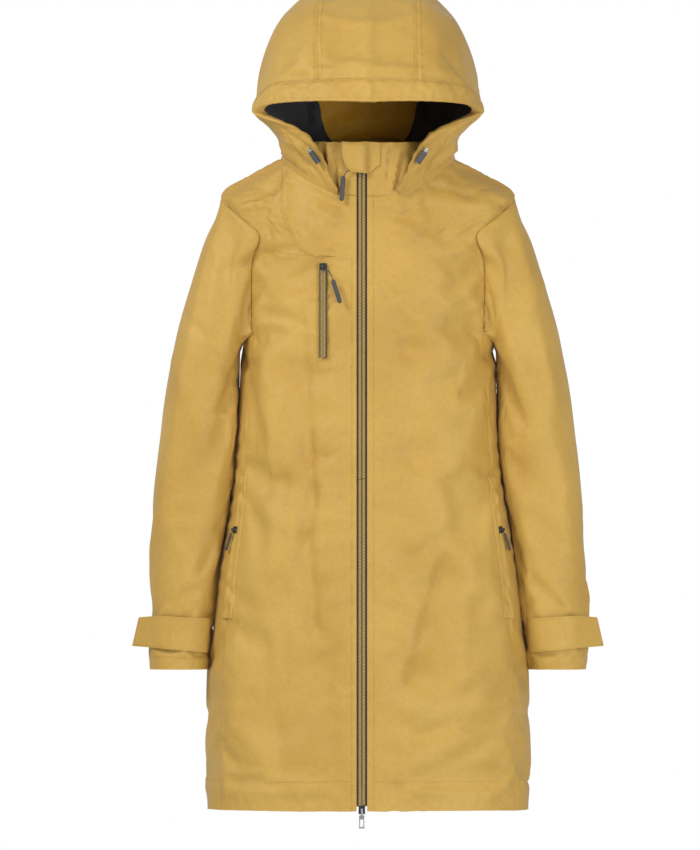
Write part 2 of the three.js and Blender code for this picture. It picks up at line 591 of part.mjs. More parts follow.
// The cord runs out sideways along the bar's axis, under the chin guard, before it hangs.
const topCord = [[-2.2, 0, -2.4], [-4.4, 0, -2.4], [-9, 0, -1.7], [-16, 0, -1.4], [-23, 0, -4.5], [-27, 0, -13]];
const topPull = pull(topCord, { radius: 3.6, length: 30, lean: -0.07 });
add("zip_pull_top", topPull.translate(0, SLIDER.barY, 0), "dark", topFrame);
const bottomFrame = zipFrame(BOTTOM_SLIDER_Z);
add("zip_slider_bottom", slider(), "dark", bottomFrame);
const bottomPull = joined(
  [bar(2.4, [-1.7, 1.7], 0, 0, 14), box([-1.7, 1.7], [-1.1, 0.9], [-9, 0]), box([-4, 4], [-1.1, 0.9], [-27, -8])],
  [bar(1.35, [-3, 3], 0, 0, 14), box([-2.2, 2.2], [-3, 3], [-24.5, -14])],
);
add("zip_pull_bottom", bottomPull.translate(0, SLIDER.barY, 0), "metal", bottomFrame);

// The chin guard folds from the wearer's left over the zip's top end, and opens about its fold.
const guardFrame = zipFrame(0);
const GUARD = { fold: 5.5, left: -29, right: 26, top: 33, low: -13, y: [-11.8, -10], base: [-3.6, -1.8] };
const guardCurve = new THREE.Shape();
guardCurve.moveTo(GUARD.fold - 0.5, GUARD.top);
guardCurve.lineTo(GUARD.left, GUARD.top);
guardCurve.lineTo(GUARD.left, 14);
guardCurve.quadraticCurveTo(GUARD.left + 3, GUARD.low + 3, GUARD.fold - 0.5, GUARD.low);
const guardThick = GUARD.y[1] - GUARD.y[0];
const guardFlap = new THREE.ExtrudeGeometry(guardCurve, { depth: guardThick, curveSegments: 6, bevelEnabled: false });
add("chin_guard", guardFlap.rotateX(Math.PI / 2).translate(0, GUARD.y[1], 0), "shell", guardFrame);
const { fold, right, top, low, base } = GUARD;
const guardFoot = plate([[fold + 0.5, top], [right, top - 1], [right, 0], [fold + 0.5, low]], base);
const guardFold = box([fold + 0.5, fold + 2.1], [GUARD.y[1] + 0.5, base[1]], [low, top]);
add("chin_guard_base", joined([guardFoot, guardFold]), "shell", guardFrame);

// ---------------------------------------------------------------- pocket zips
// A small closed zip on the outside of a panel: a flat tape with the coil as a ridge along its middle.
function smallZip(width, length) {
  return joined([
    box([-width / 2, width / 2], [-1.2, 0], [-length, 0]),
    box([-1.9, 1.9], [-2.4, -0.8], [-length, 0]),
  ]);
}
// Its slider straddles the coil.
const SMALL_BAR = [0, -7.3, -5];
function smallSlider() {
  const barY = SMALL_BAR[1];
  return joined([
    box([-4, 4], [-4.4, -2.8], [-10, 0]),
    box([-4, -2.4], [-3.4, -1.6], [-10, 0]),
    box([2.4, 4], [-3.4, -1.6], [-10, 0]),
    box([-3.4, -2.3], [barY - 1.2, -4], [-6.6, -3.4]),
    box([2.3, 3.4], [barY - 1.2, -4], [-6.6, -3.4]),
    bar(SLIDER.bar, [-2.6, 2.6], barY, -5),
  ]);
}

const chestFrame = new THREE.Group();
const chestLevel = levelAt(CHEST_ZIP.top);
const chestSurface = bodyPoint(angleAtX(-CHEST_ZIP.x, chestLevel), chestLevel);
const chestOut = 2.8;
chestFrame.position.set(CHEST_ZIP.x, chestSurface.y - chestOut, CHEST_ZIP.top);
chestFrame.rotation.set(-lean, 0, -0.13);
coat.add(chestFrame);
add("chest_zip", smallZip(CHEST_ZIP.width, CHEST_ZIP.length), "zip", chestFrame);
add("chest_slider", smallSlider(), "dark", chestFrame);
const chestCord = [[1, -0.2, -4], [7, -0.8, -5.5], [12, -1, -11], [16, -1, -22]];
const chestPull = pull(chestCord, { radius: 3.4, length: 30, lean: 0.31 });
add("chest_pull", chestPull.translate(...SMALL_BAR), "dark", chestFrame);

// The hand pockets open along the side seam, each behind a welt on the front.
const pocketLow = bodyPoint(SIDE_SEAM + 0.045, levelAt(POCKET_ZIP.top - POCKET_ZIP.length));
const pocketHigh = bodyPoint(SIDE_SEAM + 0.045, levelAt(POCKET_ZIP.top));
function pocketFrame() {
  const up = pocketHigh.clone().sub(pocketLow).normalize();
  const level = levelAt(POCKET_ZIP.top - POCKET_ZIP.length / 2);
  const tangent = bodyPoint(SIDE_SEAM + 0.1, level).sub(bodyPoint(SIDE_SEAM - 0.01, level)).normalize();
  const inward = up.clone().cross(tangent).normalize();
  const across = inward.clone().cross(up).normalize();
  const frame = new THREE.Group();
  frame.setRotationFromMatrix(new THREE.Matrix4().makeBasis(across, inward, up));
  frame.position.copy(pocketHigh).addScaledVector(inward, -4.2);
  return frame;
}
const pocketPull = pull([[0.5, -0.4, -5], [2, -0.8, -8]], { radius: 2.9, length: 22, lean: 0.3 });
for (const name of ["left", "right"]) {
  const frame = pocketFrame();
  const side = new THREE.Group();
  side.scale.x = name === "left" ? 1 : -1;
  side.add(frame);
  coat.add(side);
  const sliderZ = -POCKET_ZIP.length * (1 - POCKET_ZIP.slider);
  add(`pocket_zip_${name}`, smallZip(POCKET_ZIP.width, POCKET_ZIP.length), "zip", frame);
  add(`pocket_slider_${name}`, smallSlider().translate(0, 0, sliderZ), "dark", frame);
  const [x, y, z] = SMALL_BAR;
  add(`pocket_pull_${name}`, pocketPull.clone().translate(x, y, z + sliderZ), "dark", frame);
}
const weltEdge = () => SIDE_SEAM - 0.035;
const weltInner = () => SIDE_SEAM - 0.2;
const weltLevels = levels(-652, -600, -550, -500, -457);
pair("pocket_welt", panel(weltInner, weltEdge, weltLevels, 2, { outer: 3.4, thick: 2.6 }));

export { bodyPoint, sleevePoint, hoodPoint, collarPoint, levelAt, zipY, lean };
export default coat;
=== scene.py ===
"""Looks of a long hooded rain coat: cloth, linings, zips, pulls, stitching and studio, around its frame."""

import json
import math

import bpy
import numpy as np
from mathutils import Matrix, Vector

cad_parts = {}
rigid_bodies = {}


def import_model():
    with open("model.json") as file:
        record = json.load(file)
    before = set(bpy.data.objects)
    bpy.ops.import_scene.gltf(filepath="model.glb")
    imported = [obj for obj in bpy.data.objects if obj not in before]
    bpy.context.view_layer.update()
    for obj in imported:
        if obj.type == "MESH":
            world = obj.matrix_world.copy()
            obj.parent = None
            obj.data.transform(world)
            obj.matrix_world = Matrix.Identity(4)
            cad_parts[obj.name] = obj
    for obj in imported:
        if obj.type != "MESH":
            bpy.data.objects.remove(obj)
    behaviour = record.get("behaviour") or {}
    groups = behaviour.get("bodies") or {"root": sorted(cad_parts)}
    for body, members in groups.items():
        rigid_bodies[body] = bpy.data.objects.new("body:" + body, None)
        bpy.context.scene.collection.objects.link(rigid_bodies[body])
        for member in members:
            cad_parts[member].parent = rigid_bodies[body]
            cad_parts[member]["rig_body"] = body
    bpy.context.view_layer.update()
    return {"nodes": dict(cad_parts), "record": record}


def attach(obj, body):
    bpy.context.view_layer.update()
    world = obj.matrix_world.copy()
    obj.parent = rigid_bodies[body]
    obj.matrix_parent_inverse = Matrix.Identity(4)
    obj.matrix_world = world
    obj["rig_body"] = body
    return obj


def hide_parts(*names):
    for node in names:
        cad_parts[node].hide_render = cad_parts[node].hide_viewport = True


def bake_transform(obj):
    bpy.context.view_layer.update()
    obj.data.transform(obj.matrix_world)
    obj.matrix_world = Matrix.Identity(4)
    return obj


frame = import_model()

MM = 0.001

# ---------------------------------------------------------------- driving dimensions, in millimetres
HEM_Z = -935
NECK_FRONT_Z = -46
COLLAR_TOP_Z = 32
SKIRT_TOP_Z = -455
LOOP_Y = 75
ZIP_X = -9
ZIP_LEAN = 0.0497
ZIP_Y_AT_NECK = -92
ZIP_EDGE = 7.7
ZIP_TOP = 27
ZIP_BOTTOM = HEM_Z + 9
ROUNDNESS = 2 / 2.3
COLLAR_ROUNDNESS = 0.68
SIDE_SEAM = math.radians(-25)
BACK_SEAM = math.radians(30)
SLEEVE_SEAM = math.radians(140)
CHEST_ZIP = {"x": -65, "top": -143, "length": 137, "width": 11}
POCKET_ZIP = {"length": 200, "width": 8}
CLOTH = 0.7
HEM_THICK = 2.0
PITCH = 5.0  # of the finished cloth's mesh
SHARP_ANGLE = math.radians(50)

# Rings of the body from hem to neck.
RINGS = {
    "side": [HEM_Z, -790, -620, -430, -240, -140, -46, -12, 12],
    "front": [HEM_Z, -790, -620, -430, -240, -150, -95, -66, NECK_FRONT_Z],
    "back": [HEM_Z, -790, -620, -430, -240, -140, -50, -14, 15],
    "half": [233, 232, 219.8, 193.6, 183.5, 186.5, 213, 168, 120],
    "rear": [130, 127, 119, 106, 110, 107, 98, 90, 80],
}
# Rings of the left sleeve from armhole to cuff.
SLEEVE_Y = 8
SLEEVE = {
    "outer_x": [219, 243, 262, 287, 306, 318, 321, 317],
    "outer_z": [-47, -105, -165, -255, -370, -500, -620, -732],
    "inner_x": [185, 185.8, 186.3, 187.6, 190.3, 205.8, 220.6, 230.4],
    "inner_z": [-246, -268, -293, -345, -425, -530, -635, -732],
    "depth": [56, 69, 74, 73, 69, 64, 57, 50],
    "dip": [18, 8, 2, 0, 0, 0, 0, 0],
}
HEAD_SHARE = 0.16
ARMPIT_SPAN = math.radians(32)
ARMHOLE_FRONT = [1, 1, 1.1, 1.62, 0]
ARMHOLE_BACK = [1, 0.97, 0.9, 0.72, 0]
# The left half of the hood: rows from the face opening to the nape, each from the crown to the neck seam.
HOOD_NET = np.array([
    [[0, -174, 90], [74, -162, 91], [138, -128, 88], [166, -96, 75], [90, -104, 42], [45, -99, -37]],
    [[0, -160, 136], [72, -148, 135], [136, -110, 128], [167, -66, 84], [122, -80, 36], [96, -70, -8]],
    [[0, -124, 190], [72, -114, 189], [134, -80, 172], [164, -38, 102], [131, -38, 42], [124, -22, 15]],
    [[0, -66, 240], [70, -60, 238], [124, -36, 216], [159, -8, 124], [132, -2, 54], [123, 8, 20]],
    [[0, 6, 264], [68, 8, 260], [113, 16, 228], [144, 28, 138], [126, 34, 60], [113, 38, 21]],
    [[0, 74, 240], [58, 74, 232], [96, 68, 194], [116, 66, 118], [104, 64, 58], [94, 60, 20]],
    [[0, 112, 168], [50, 110, 160], [78, 98, 130], [88, 92, 88], [82, 84, 48], [76, 74, 20]],
    [[0, 114, 90], [44, 112, 86], [66, 104, 70], [71, 95, 55], [68, 88, 38], [66, 80, 20]],
    [[0, 89, 22], [36, 88, 22], [43, 87, 21.5], [48, 86, 21], [53, 85, 20.5], [58, 84, 20]],
], float)
HOOD_CENTRE_SHARE = 0.2
HOOD_MIDDLE = (0, 10, 90)
BRIM_SHARE = 0.085

# The place of the left shoulder and the way the arm runs from it, in metres; with_sleeve works them out for
# each side but does not use them.
SHOULDER_AT, ARM_WAY = (0.2165, -0.067, -0.045), (0.985, 0, -0.171)  # on the left
NAME = {1: "left", -1: "right"}
TAB = {
    "level": 0.928, "from": math.radians(-146), "leaves": math.radians(-52),
    "reach": 42, "lift": 4.6, "root_half": 28, "tip_half": 21,
}


# ---------------------------------------------------------------- surfaces
def through(values, t):
    """The value at t, from 0 to 1, of a smooth line through values evenly spaced on their first axis."""
    t = np.asarray(t, float)
    values = np.asarray(values, float)
    if values.ndim == 1:
        values = values.reshape((-1,) + (1,) * t.ndim)
    values = np.broadcast_to(values, values.shape[:1] + t.shape)
    step = np.diff(values, axis=0)
    product = step[:-1] * step[1:]
    total = np.where(product > 0, step[:-1] + step[1:], 1)
    slope = np.concatenate([step[:1], np.where(product > 0, 2 * product / total, 0), step[-1:]])
    x = np.clip(t, 0, 1) * (len(values) - 1)
    i = np.minimum(x.astype(int), len(values) - 2)
    f = x - i

    def pick(rows, k):
        return np.take_along_axis(rows, k[None], axis=0)[0]

    return (
        (2 * f**3 - 3 * f**2 + 1) * pick(values, i)
        + (f**3 - 2 * f**2 + f) * pick(slope, i)
        + (3 * f**2 - 2 * f**3) * pick(values, i + 1)
        + (f**3 - f**2) * pick(slope, i + 1)
    )


def lerp(a, b, t):
    return a + (b - a) * t


def smooth(x, low, high):
    t = np.clip((x - low) / (high - low), 0, 1)
    return t * t * (3 - 2 * t)


def bulge(value, power=ROUNDNESS):
    return np.sign(value) * np.abs(value) ** power


def zip_y(z):
    return ZIP_Y_AT_NECK - (NECK_FRONT_Z - z) * ZIP_LEAN


def point(x, y, z):
    return np.stack(np.broadcast_arrays(x, y, z), axis=-1).astype(float)


def unit(vectors, least=1e-9):
    """Vectors at length 1, or shorter where they were shorter than least."""
    return vectors / np.maximum(np.linalg.norm(vectors, axis=-1, keepdims=True), least)


def pair(first, second):
    return np.broadcast_arrays(np.asarray(first, float), np.asarray(second, float))


def body_point(phi, v):
    """phi turns from the front (-90 degrees) by the wearer's left (0) to the back (90)."""
    ring = {key: through(values, v) for key, values in RINGS.items()}
    across, along = np.cos(phi), np.sin(phi)
    depth = np.where(along < 0, -zip_y(ring["front"]), ring["rear"])
    height = np.where(along < 0, ring["front"], ring["back"])
    return point(ring["half"] * bulge(across), depth * bulge(along), lerp(height, ring["side"], across**2))


LEVELS = np.linspace(0, 1, 4001)
FRONT_HEIGHTS = through(RINGS["front"], LEVELS)


def level_at(z):
    return float(np.interp(z, FRONT_HEIGHTS, LEVELS))


def half_at(v):
    return through(RINGS["half"], v)


def angle_at_x(x, v):
    return -np.arccos(bulge(x / half_at(v), 1 / ROUNDNESS))


ARMPIT = level_at(-240)
SHOULDER = 6 / 8
NECK = 0.995


def zip_edge(side):
    """The front's edge beside the zip, as an angle: side is 1 for the wearer's left and -1 for the right."""
    if side > 0:
        return lambda v: angle_at_x(ZIP_EDGE + ZIP_X, v)
    return lambda v: math.pi - angle_at_x(ZIP_EDGE - ZIP_X, v)


def armhole(angle, shares):
    return lambda v: angle * through(shares, (v - ARMPIT) / (SHOULDER - ARMPIT))


armhole_front, armhole_back = armhole(SIDE_SEAM, ARMHOLE_FRONT), armhole(BACK_SEAM, ARMHOLE_BACK)


def mirrored_angle(edge):
    return lambda v: math.pi - edge(v)


def steady(value):
    """An edge that stays at one value."""
    return lambda v: value + 0 * v


def armhole_place(psi):
    """Angle and level of the left armhole, from the shoulder (0) by the back to the armpit (180 degrees)."""
    off = np.mod(psi, 2 * math.pi) - math.pi
    under = np.abs(off) <= ARMPIT_SPAN
    share = (ARMPIT_SPAN - off) / (2 * ARMPIT_SPAN)
    climb = np.clip((np.abs(off) - ARMPIT_SPAN) / (math.pi - ARMPIT_SPAN), 0, 1)
    v = np.where(under, ARMPIT, lerp(ARMPIT, SHOULDER, (1 - np.cos(climb * math.pi)) / 2))
    edge = np.where(off < 0, armhole_back(v), armhole_front(v))
    return np.where(under, lerp(SIDE_SEAM, BACK_SEAM, share), edge), v


def oval_point(psi, s):
    part = {key: through(values, s) for key, values in SLEEVE.items()}
    across, along = bulge(np.cos(psi)), bulge(np.sin(psi))
    x = (part["outer_x"] + part["inner_x"]) / 2 + (part["outer_x"] - part["inner_x"]) / 2 * across
    z = (part["outer_z"] + part["inner_z"]) / 2 + (part["outer_z"] - part["inner_z"]) / 2 * across
    return point(x - part["dip"] * along**2, SLEEVE_Y + part["depth"] * along, z)


def sleeve_point(psi, s):
    """psi turns from the left sleeve's outer side (0) by its back (90 degrees) to its inner side."""
    psi, s = pair(psi, s)
    head = body_point(*armhole_place(psi))
    share = (1 - smooth(s, 0, HEAD_SHARE))[..., None]
    return oval_point(psi, s) + (head - oval_point(psi, np.zeros_like(s))) * share


def hood_point(a, q):
    """a runs from -1 at the right neck seam over the crown to 1, and q from the face opening to the nape."""
    a, q = pair(a, q)
    axes = []
    for axis in range(3):
        rows = np.stack([through(row[:, axis], np.abs(a)) for row in HOOD_NET])
        axes.append(through(rows, q))
    axes[0] = axes[0] * np.sign(a)
    return np.stack(axes, axis=-1)


def collar_half(height):
    return lerp(112, 84, height)


def collar_point(phi, t):
    across, along = np.cos(phi), np.sin(phi)
    front_z = lerp(NECK_FRONT_Z + 1.5, COLLAR_TOP_Z, t)
    depth = np.where(along < 0, -zip_y(front_z), lerp(73, 66, t))
    z = lerp(np.where(along < 0, front_z, lerp(17, 37, t)), lerp(14, 35, t), across**2)
    half = collar_half(t)
    return point(half * bulge(across, COLLAR_ROUNDNESS), depth * bulge(along, COLLAR_ROUNDNESS), z)


# ---------------------------------------------------------------- smooth noise, the same each run
def noise(*coordinates, seed=0, octaves=2):
    """Even noise between about -1 and 1, from sums of sines at seeded directions and phases."""
    rng = np.random.default_rng(seed)
    total = 0.0
    for octave in range(octaves):
        for _ in range(5):
            turn = rng.normal(size=len(coordinates))
            turn *= 2.0**octave / np.linalg.norm(turn)
            phase = sum(k * c for k, c in zip(turn, coordinates)) + rng.uniform(0, 6.28)
            total = total + np.sin(phase) / 2**octave
    return total / (5 * (2 - 2.0 ** (1 - octaves)))


# ---------------------------------------------------------------- cloth simulation
def in_scene(name, data):
    made = bpy.data.objects.new(name, data)
    bpy.context.scene.collection.objects.link(made)
    return made


def grid_faces(columns, rows, ring=False):
    wide = columns if ring else columns - 1
    i, j = np.meshgrid(np.arange(wide), np.arange(rows - 1), indexing="ij")
    k = (i + 1) % columns
    return np.stack([i * rows + j, k * rows + j, k * rows + j + 1, i * rows + j + 1], -1).reshape(-1, 4)


def simulate(points, pins, growth, frames=22, gravity=0.15, bending=0.6, cap=9.0, ring=False):
    """Lets a grid of cloth points, held by pins from 0 to 1, settle with more cloth than its shape needs.
    growth is the share of cloth added. Returns each point's move in millimetres, at most about cap."""
    columns, rows = points.shape[:2]
    mesh = bpy.data.meshes.new("cloth_trial")
    mesh.from_pydata((points.reshape(-1, 3) * MM).tolist(), [], grid_faces(columns, rows, ring).tolist())
    trial = in_scene("cloth_trial", mesh)
    group = trial.vertex_groups.new(name="pin")
    for index, weight in enumerate(np.clip(pins, 0, 1).reshape(-1)):
        group.add([index], float(weight), "REPLACE")
    cloth = trial.modifiers.new("Cloth", "CLOTH")
    settings = cloth.settings
    settings.quality = 5
    settings.mass = 0.15
    settings.tension_stiffness = settings.compression_stiffness = 12
    settings.shear_stiffness = 5
    settings.bending_stiffness = bending
    settings.air_damping = 2
    settings.vertex_group_mass = "pin"
    settings.pin_stiffness = 0.6
    settings.shrink_min = -growth
    settings.effector_weights.gravity = gravity
    cloth.collision_settings.use_collision = False
    cloth.point_cache.frame_start, cloth.point_cache.frame_end = 1, frames
    scene = bpy.context.scene
    for step in range(1, frames + 1):
        scene.frame_set(step)
    shown = trial.evaluated_get(bpy.context.evaluated_depsgraph_get())
    after = np.zeros(len(mesh.vertices) * 3)
    shown.data.vertices.foreach_get("co", after)
    moves = after.reshape(points.shape) / MM - points
    bpy.data.objects.remove(trial)
    bpy.data.meshes.remove(mesh)
    scene.frame_set(1)
    size = np.linalg.norm(moves, axis=-1, keepdims=True)
    return moves * (cap * np.tanh(size / cap) / np.maximum(size, 1e-9))


def cubic(x):
    """Catmull-Rom weights of the four neighbours of a place x, from 0 to 1, between the middle two."""
    return np.stack([
        -0.5 * x + x**2 - 0.5 * x**3,
        1 - 2.5 * x**2 + 1.5 * x**3,
        0.5 * x + 2 * x**2 - 1.5 * x**3,
        -0.5 * x**2 + 0.5 * x**3,
    ])


def sample(table, s, t, ring=False):
    """A smooth value of a grid of values at s and t, from 0 to 1."""
    columns, rows = table.shape[:2]
    s, t = np.broadcast_arrays(s, t)
    x = (np.mod(s, 1) * columns) if ring else np.clip(s, 0, 1) * (columns - 1)
    y = np.clip(t, 0, 1) * (rows - 1)
    i = np.minimum(x.astype(int), columns - (1 if ring else 2))
    j = np.minimum(y.astype(int), rows - 2)
    across, along = cubic(x - i), cubic(y - j)
    total = 0
    for k in range(4):
        column = (i + k - 1) % columns if ring else np.clip(i + k - 1, 0, columns - 1)
        for m in range(4):
            row = np.clip(j + m - 1, 0, rows - 1)
            total = total + table[column, row] * (across[k] * along[m])[..., None]
    return total


# ---------------------------------------------------------------- the three cloths
def ridge(x, z, start, end, width):
    """1 along a line in the front view from start to end, falling to 0 within about twice width of it."""
    (x0, z0), (x1, z1) = start, end
    long = math.hypot(x1 - x0, z1 - z0)
    ux, uz = (x1 - x0) / long, (z1 - z0) / long
    along = (x - x0) * ux + (z - z0) * uz
    off = (x - x0) * uz - (z - z0) * ux
    past = np.maximum(np.maximum(-along, along - long), 0)
    return np.exp(-((off / width) ** 2) - (past / (1.6 * width)) ** 2)


def folded(folds, x, z):
    """The height of a list of folds at places in the front view."""
    return sum(ridge(x, z, start, end, width) * height for start, end, width, height in folds)


# Soft folds of the fronts: start, end, width, and height, which is negative in a hollow.
FRONT_FOLDS = [
    ((-98, -230), (-88, -400), 11, -5.0),
    ((-88, -400), (-82, -477), 9, -6.0),
    ((-82, -477), (-89, -540), 9, -6.0),
    ((-89, -540), (-80, -665), 10, -6.0),
    ((-80, -665), (-44, -705), 11, -4.0),
    ((-112, -430), (-110, -600), 9, 2.4),
    ((-140, -300), (-132, -600), 15, 3.2),
    ((-126, -610), (-120, -760), 12, -3.0),
    ((-52, -300), (-48, -620), 13, 3.0),
    ((24, -160), (58, -262), 11, -3.2),
    ((58, -262), (64, -420), 15, -2.6),
    ((112, -575), (84, -670), 12, -5.5),
    ((84, -670), (66, -740), 12, -5.0),
    ((66, -740), (28, -800), 11, -4.0),
    ((146, -560), (126, -760), 15, 3.2),
    ((52, -575), (128, -528), 10, -3.6),
    ((20, -640), (60, -600), 10, 2.4),
    ((212, -815), (50, -896), 10, -3.2),
    ((40, -800), (150, -735), 13, 3.0),
    ((30, -850), (130, -800), 11, -2.6),
    ((-150, -700), (-128, -880), 14, -3.6),
    ((-60, -720), (-52, -900), 12, -2.6),
    ((90, -380), (165, -350), 10, 2.6),
    ((75, -440), (150, -478), 9, -3.0),
    ((-60, -420), (-150, -470), 10, -2.8),
    ((-150, -500), (-90, -540), 10, 2.4),
    ((150, -190), (176, -240), 9, 3.0),
    ((150, -235), (178, -285), 8, -2.8),
    ((-150, -190), (-176, -236), 9, 3.0),
    ((-118, -250), (-172, -260), 8, -2.4),
    ((2, -64), (50, -77), 6.5, -2.8),
    ((50, -77), (80, -58), 6.5, -2.4),
    ((8, -84), (62, -96), 9, 2.0),
    ((104, -30), (154, -42), 5.5, -2.6),
    ((154, -42), (178, -28), 5.5, -2.8),
    ((100, -48), (168, -58), 8, 2.4),
    ((-187, -18), (-142, -38), 6, -2.4),
    ((-142, -38), (-150, -66), 6, -2.8),
    ((-120, -50), (-128, -100), 9, 2.6),
    ((-76, -42), (-26, -68), 6.5, -2.6),
    ((-70, -66), (-30, -92), 8, 2.2),
    ((-96, -96), (-60, -124), 9, -2.0),
    ((-110, -120), (-168, -134), 6.5, -2.6),
    ((70, -120), (150, -150), 11, -2.2),
    ((-88, -900), (-80, -935), 5, -1.6),
    ((62, -900), (68, -935), 5, -1.6),
]


# The same on the sleeves' fronts, with the wearer's left first.
SLEEVE_FOLDS = {
    1: [
        ((174, -114), (210, -117), 5, -2.6),
        ((180, -128), (206, -136), 6, 2.2),
        ((180, -156), (204, -158), 5, -2.8),
        ((186, -170), (227, -187), 6, -2.6),
        ((256, -172), (206, -262), 13, 3.6),
        ((206, -262), (200, -340), 12, -3.0),
        ((270, -330), (236, -470), 16, 3.0),
        ((214, -470), (222, -600), 10, -2.8),
        ((232, -560), (280, -600), 10, -2.2),
        ((228, -640), (262, -668), 7, -1.8),
    ],
    -1: [
        ((204, -66), (198, -106), 6, -2.6),
        ((176, -140), (216, -154), 6, -2.6),
        ((270, -218), (238, -246), 7, -2.6),
        ((286, -282), (236, -410), 12, 3.2),
        ((222, -280), (190, -312), 9, -3.2),
        ((204, -330), (212, -470), 11, -2.8),
        ((250, -480), (238, -580), 13, -2.6),
        ((296, -520), (262, -600), 12, 2.4),
        ((222, -590), (236, -640), 9, -2.4),
    ],
}


def torso_grid(columns, rows):
    s = np.linspace(0, 1, columns)[:, None]
    v = np.linspace(0, NECK, rows)[None, :]
    return s, v, lerp(zip_edge(1)(v), zip_edge(-1)(v), s)


def near(value, place, width):
    return np.exp(-(((value - place) / width) ** 2))


def held_by(shape, *pins):
    """The firmest of several pin weights at each point of a grid."""
    return np.maximum.reduce([np.broadcast_to(pin, shape) for pin in pins])


def torso_cloth():
    s, v, phi = torso_grid(150, 124)
    base = body_point(phi, v)
    x, y, z = np.moveaxis(base, -1, 0)
    front_side = np.minimum(np.abs(phi - armhole_front(v)), np.abs(phi - math.pi + armhole_front(v)))
    back_side = np.minimum(np.abs(phi - armhole_back(v)), np.abs(phi - math.pi + armhole_back(v)))
    mm_off = np.minimum(front_side, back_side) * half_at(v)
    side_seams = sum(near(np.abs(phi - seam), 0.02, 0.09) for seam in (SIDE_SEAM, math.pi - SIDE_SEAM))
    pins = held_by(
        x.shape,
        smooth(np.abs(s - 0.5), 0.478, 0.495),
        ridge(x, z, (CHEST_ZIP["x"], -150), (CHEST_ZIP["x"], -285), 9) * (y < 0),
        side_seams * near(z, -550, 95) * 0.9,
        smooth(v, 0.96, NECK),
        near(v, 0, 0.02) * 0.75,
        near(mm_off, 0, 7) * np.where(v > ARMPIT, 1.0, 0.55),
        near(np.abs(x) / half_at(v), 1, 0.06) * smooth(-z, 280, 330) * (1 - smooth(-z, 640, 720)) * 0.8,
        0.012,
    )
    start = base.copy()
    start[..., 1] += 1.2 * noise(x / 34, z / 60, y / 34, seed=5) * (1 - pins)
    moves = simulate(start, pins, growth=0.021, bending=1.4, cap=7.0) + (start - base)
    front = smooth(-y, 5, 60)
    height = folded(FRONT_FOLDS, x, z) * front * 1.35
    back = smooth(y, 5, 60)
    height = height + back * 3.0 * noise(x / 46, z / 170, seed=11) * smooth(-z, 60, 330)
    outward = unit(point(np.cos(phi) * 0.8, np.sin(phi), 0 * x))
    moves = moves + outward * (height * (1 - pins))[..., None]
    moves[..., 2] += 2.2 * noise(phi * 4, seed=13) * near(v, 0, 0.06) * smooth(np.abs(s - 0.5), 0.5, 0.44)
    return moves


def torso(phi, v):
    """A point of the finished body cloth."""
    phi, v = pair(phi, v)
    first, last = zip_edge(1)(v), zip_edge(-1)(v)
    return body_point(phi, v) + sample(TORSO, (phi - first) / (last - first), v / NECK)


def sleeve_cloth(side, seed):
    psi = np.arange(56)[:, None] / 56 * 2 * math.pi
    s = np.linspace(0, 1, 100)[None, :]
    base = sleeve_point(psi, s)
    pins = held_by(
        base.shape[:2],
        1 - smooth(s, 0.0, 0.03),
        smooth(s, 0.965, 1.0) * 0.9,
        near(s, TAB["level"], 0.03) * 0.35,
        smooth(-np.cos(psi), 0.9, 0.99) * smooth(s, 0.12, 0.2) * (1 - smooth(s, 0.72, 0.8)) * 0.8,
        0.014,
    )
    x, y, z = np.moveaxis(base, -1, 0)
    axis_x = 0.5 * (through(SLEEVE["outer_x"], s) + through(SLEEVE["inner_x"], s))
    out = unit(point(x - axis_x, y - SLEEVE_Y, 0 * z), 1)
    bend = smooth(s, 0.3, 0.5) * (1 - smooth(s, 0.62, 0.8))
    slant = z + 0.55 * (x - axis_x) * (1 if seed % 2 else 1.3)
    waves = np.sin(slant / 17 + 1.4 * noise(z / 60, y / 40, seed=seed))
    waves = waves * (0.6 + 0.4 * noise(z / 90, x / 50, seed=seed + 2))
    long_waves = noise(psi * 1.6, s * 3.2, seed=seed + 7)
    inner = smooth(-np.cos(psi), -0.6, 0.9)
    push = 1.5 * bend * waves * (0.35 + 0.65 * inner) + 2.2 * long_waves * smooth(s, 0.1, 0.3)
    start = base + out * (push * (1 - pins))[..., None]
    moves = simulate(start, pins, growth=0.024, gravity=0.4, bending=1.0, cap=7.0, ring=True) + (start - base)
    folds = folded(SLEEVE_FOLDS[side], x, z)
    return moves + out * (folds * smooth(SLEEVE_Y - y, 0, 30) * (1 - pins))[..., None]


def sleeve(side):
    """The finished cloth of one sleeve: side is 1 for the left and -1 for the right."""
    table = SLEEVES[side]

    def place(psi, s):
        psi, s = pair(psi, s)
        at = sleeve_point(psi, s) + sample(table, psi / (2 * math.pi), s, ring=True)
        at[..., 0] *= side
        phi, v = armhole_place(psi)
        phi = phi if side > 0 else math.pi - phi
        return at + (torso(phi, v) - body_point(phi, v)) * (1 - smooth(s, 0, 0.14))[..., None]

    return place


HOOD_FOLDS = [
    ((-124, 133), (-96, 124), 5, -2.4),
    ((-104, 119), (-80, 94), 5, -2.6),
    ((-58, 190), (-112, 140), 11, 3.0),
    ((-30, 150), (-86, 128), 8, -2.2),
    ((66, 196), (122, 136), 11, -3.0),
    ((30, 120), (96, 112), 6, 1.6),
    ((118, 118), (132, 96), 6, -2.2),
    ((-20, 230), (-80, 214), 10, 2.4),
    ((-146, 66), (-116, 44), 5, -2.6),
    ((144, 66), (112, 44), 5, -2.6),
    ((-112, 30), (-84, -2), 5, -2.4),
    ((108, 30), (82, -4), 5, -2.4),
]


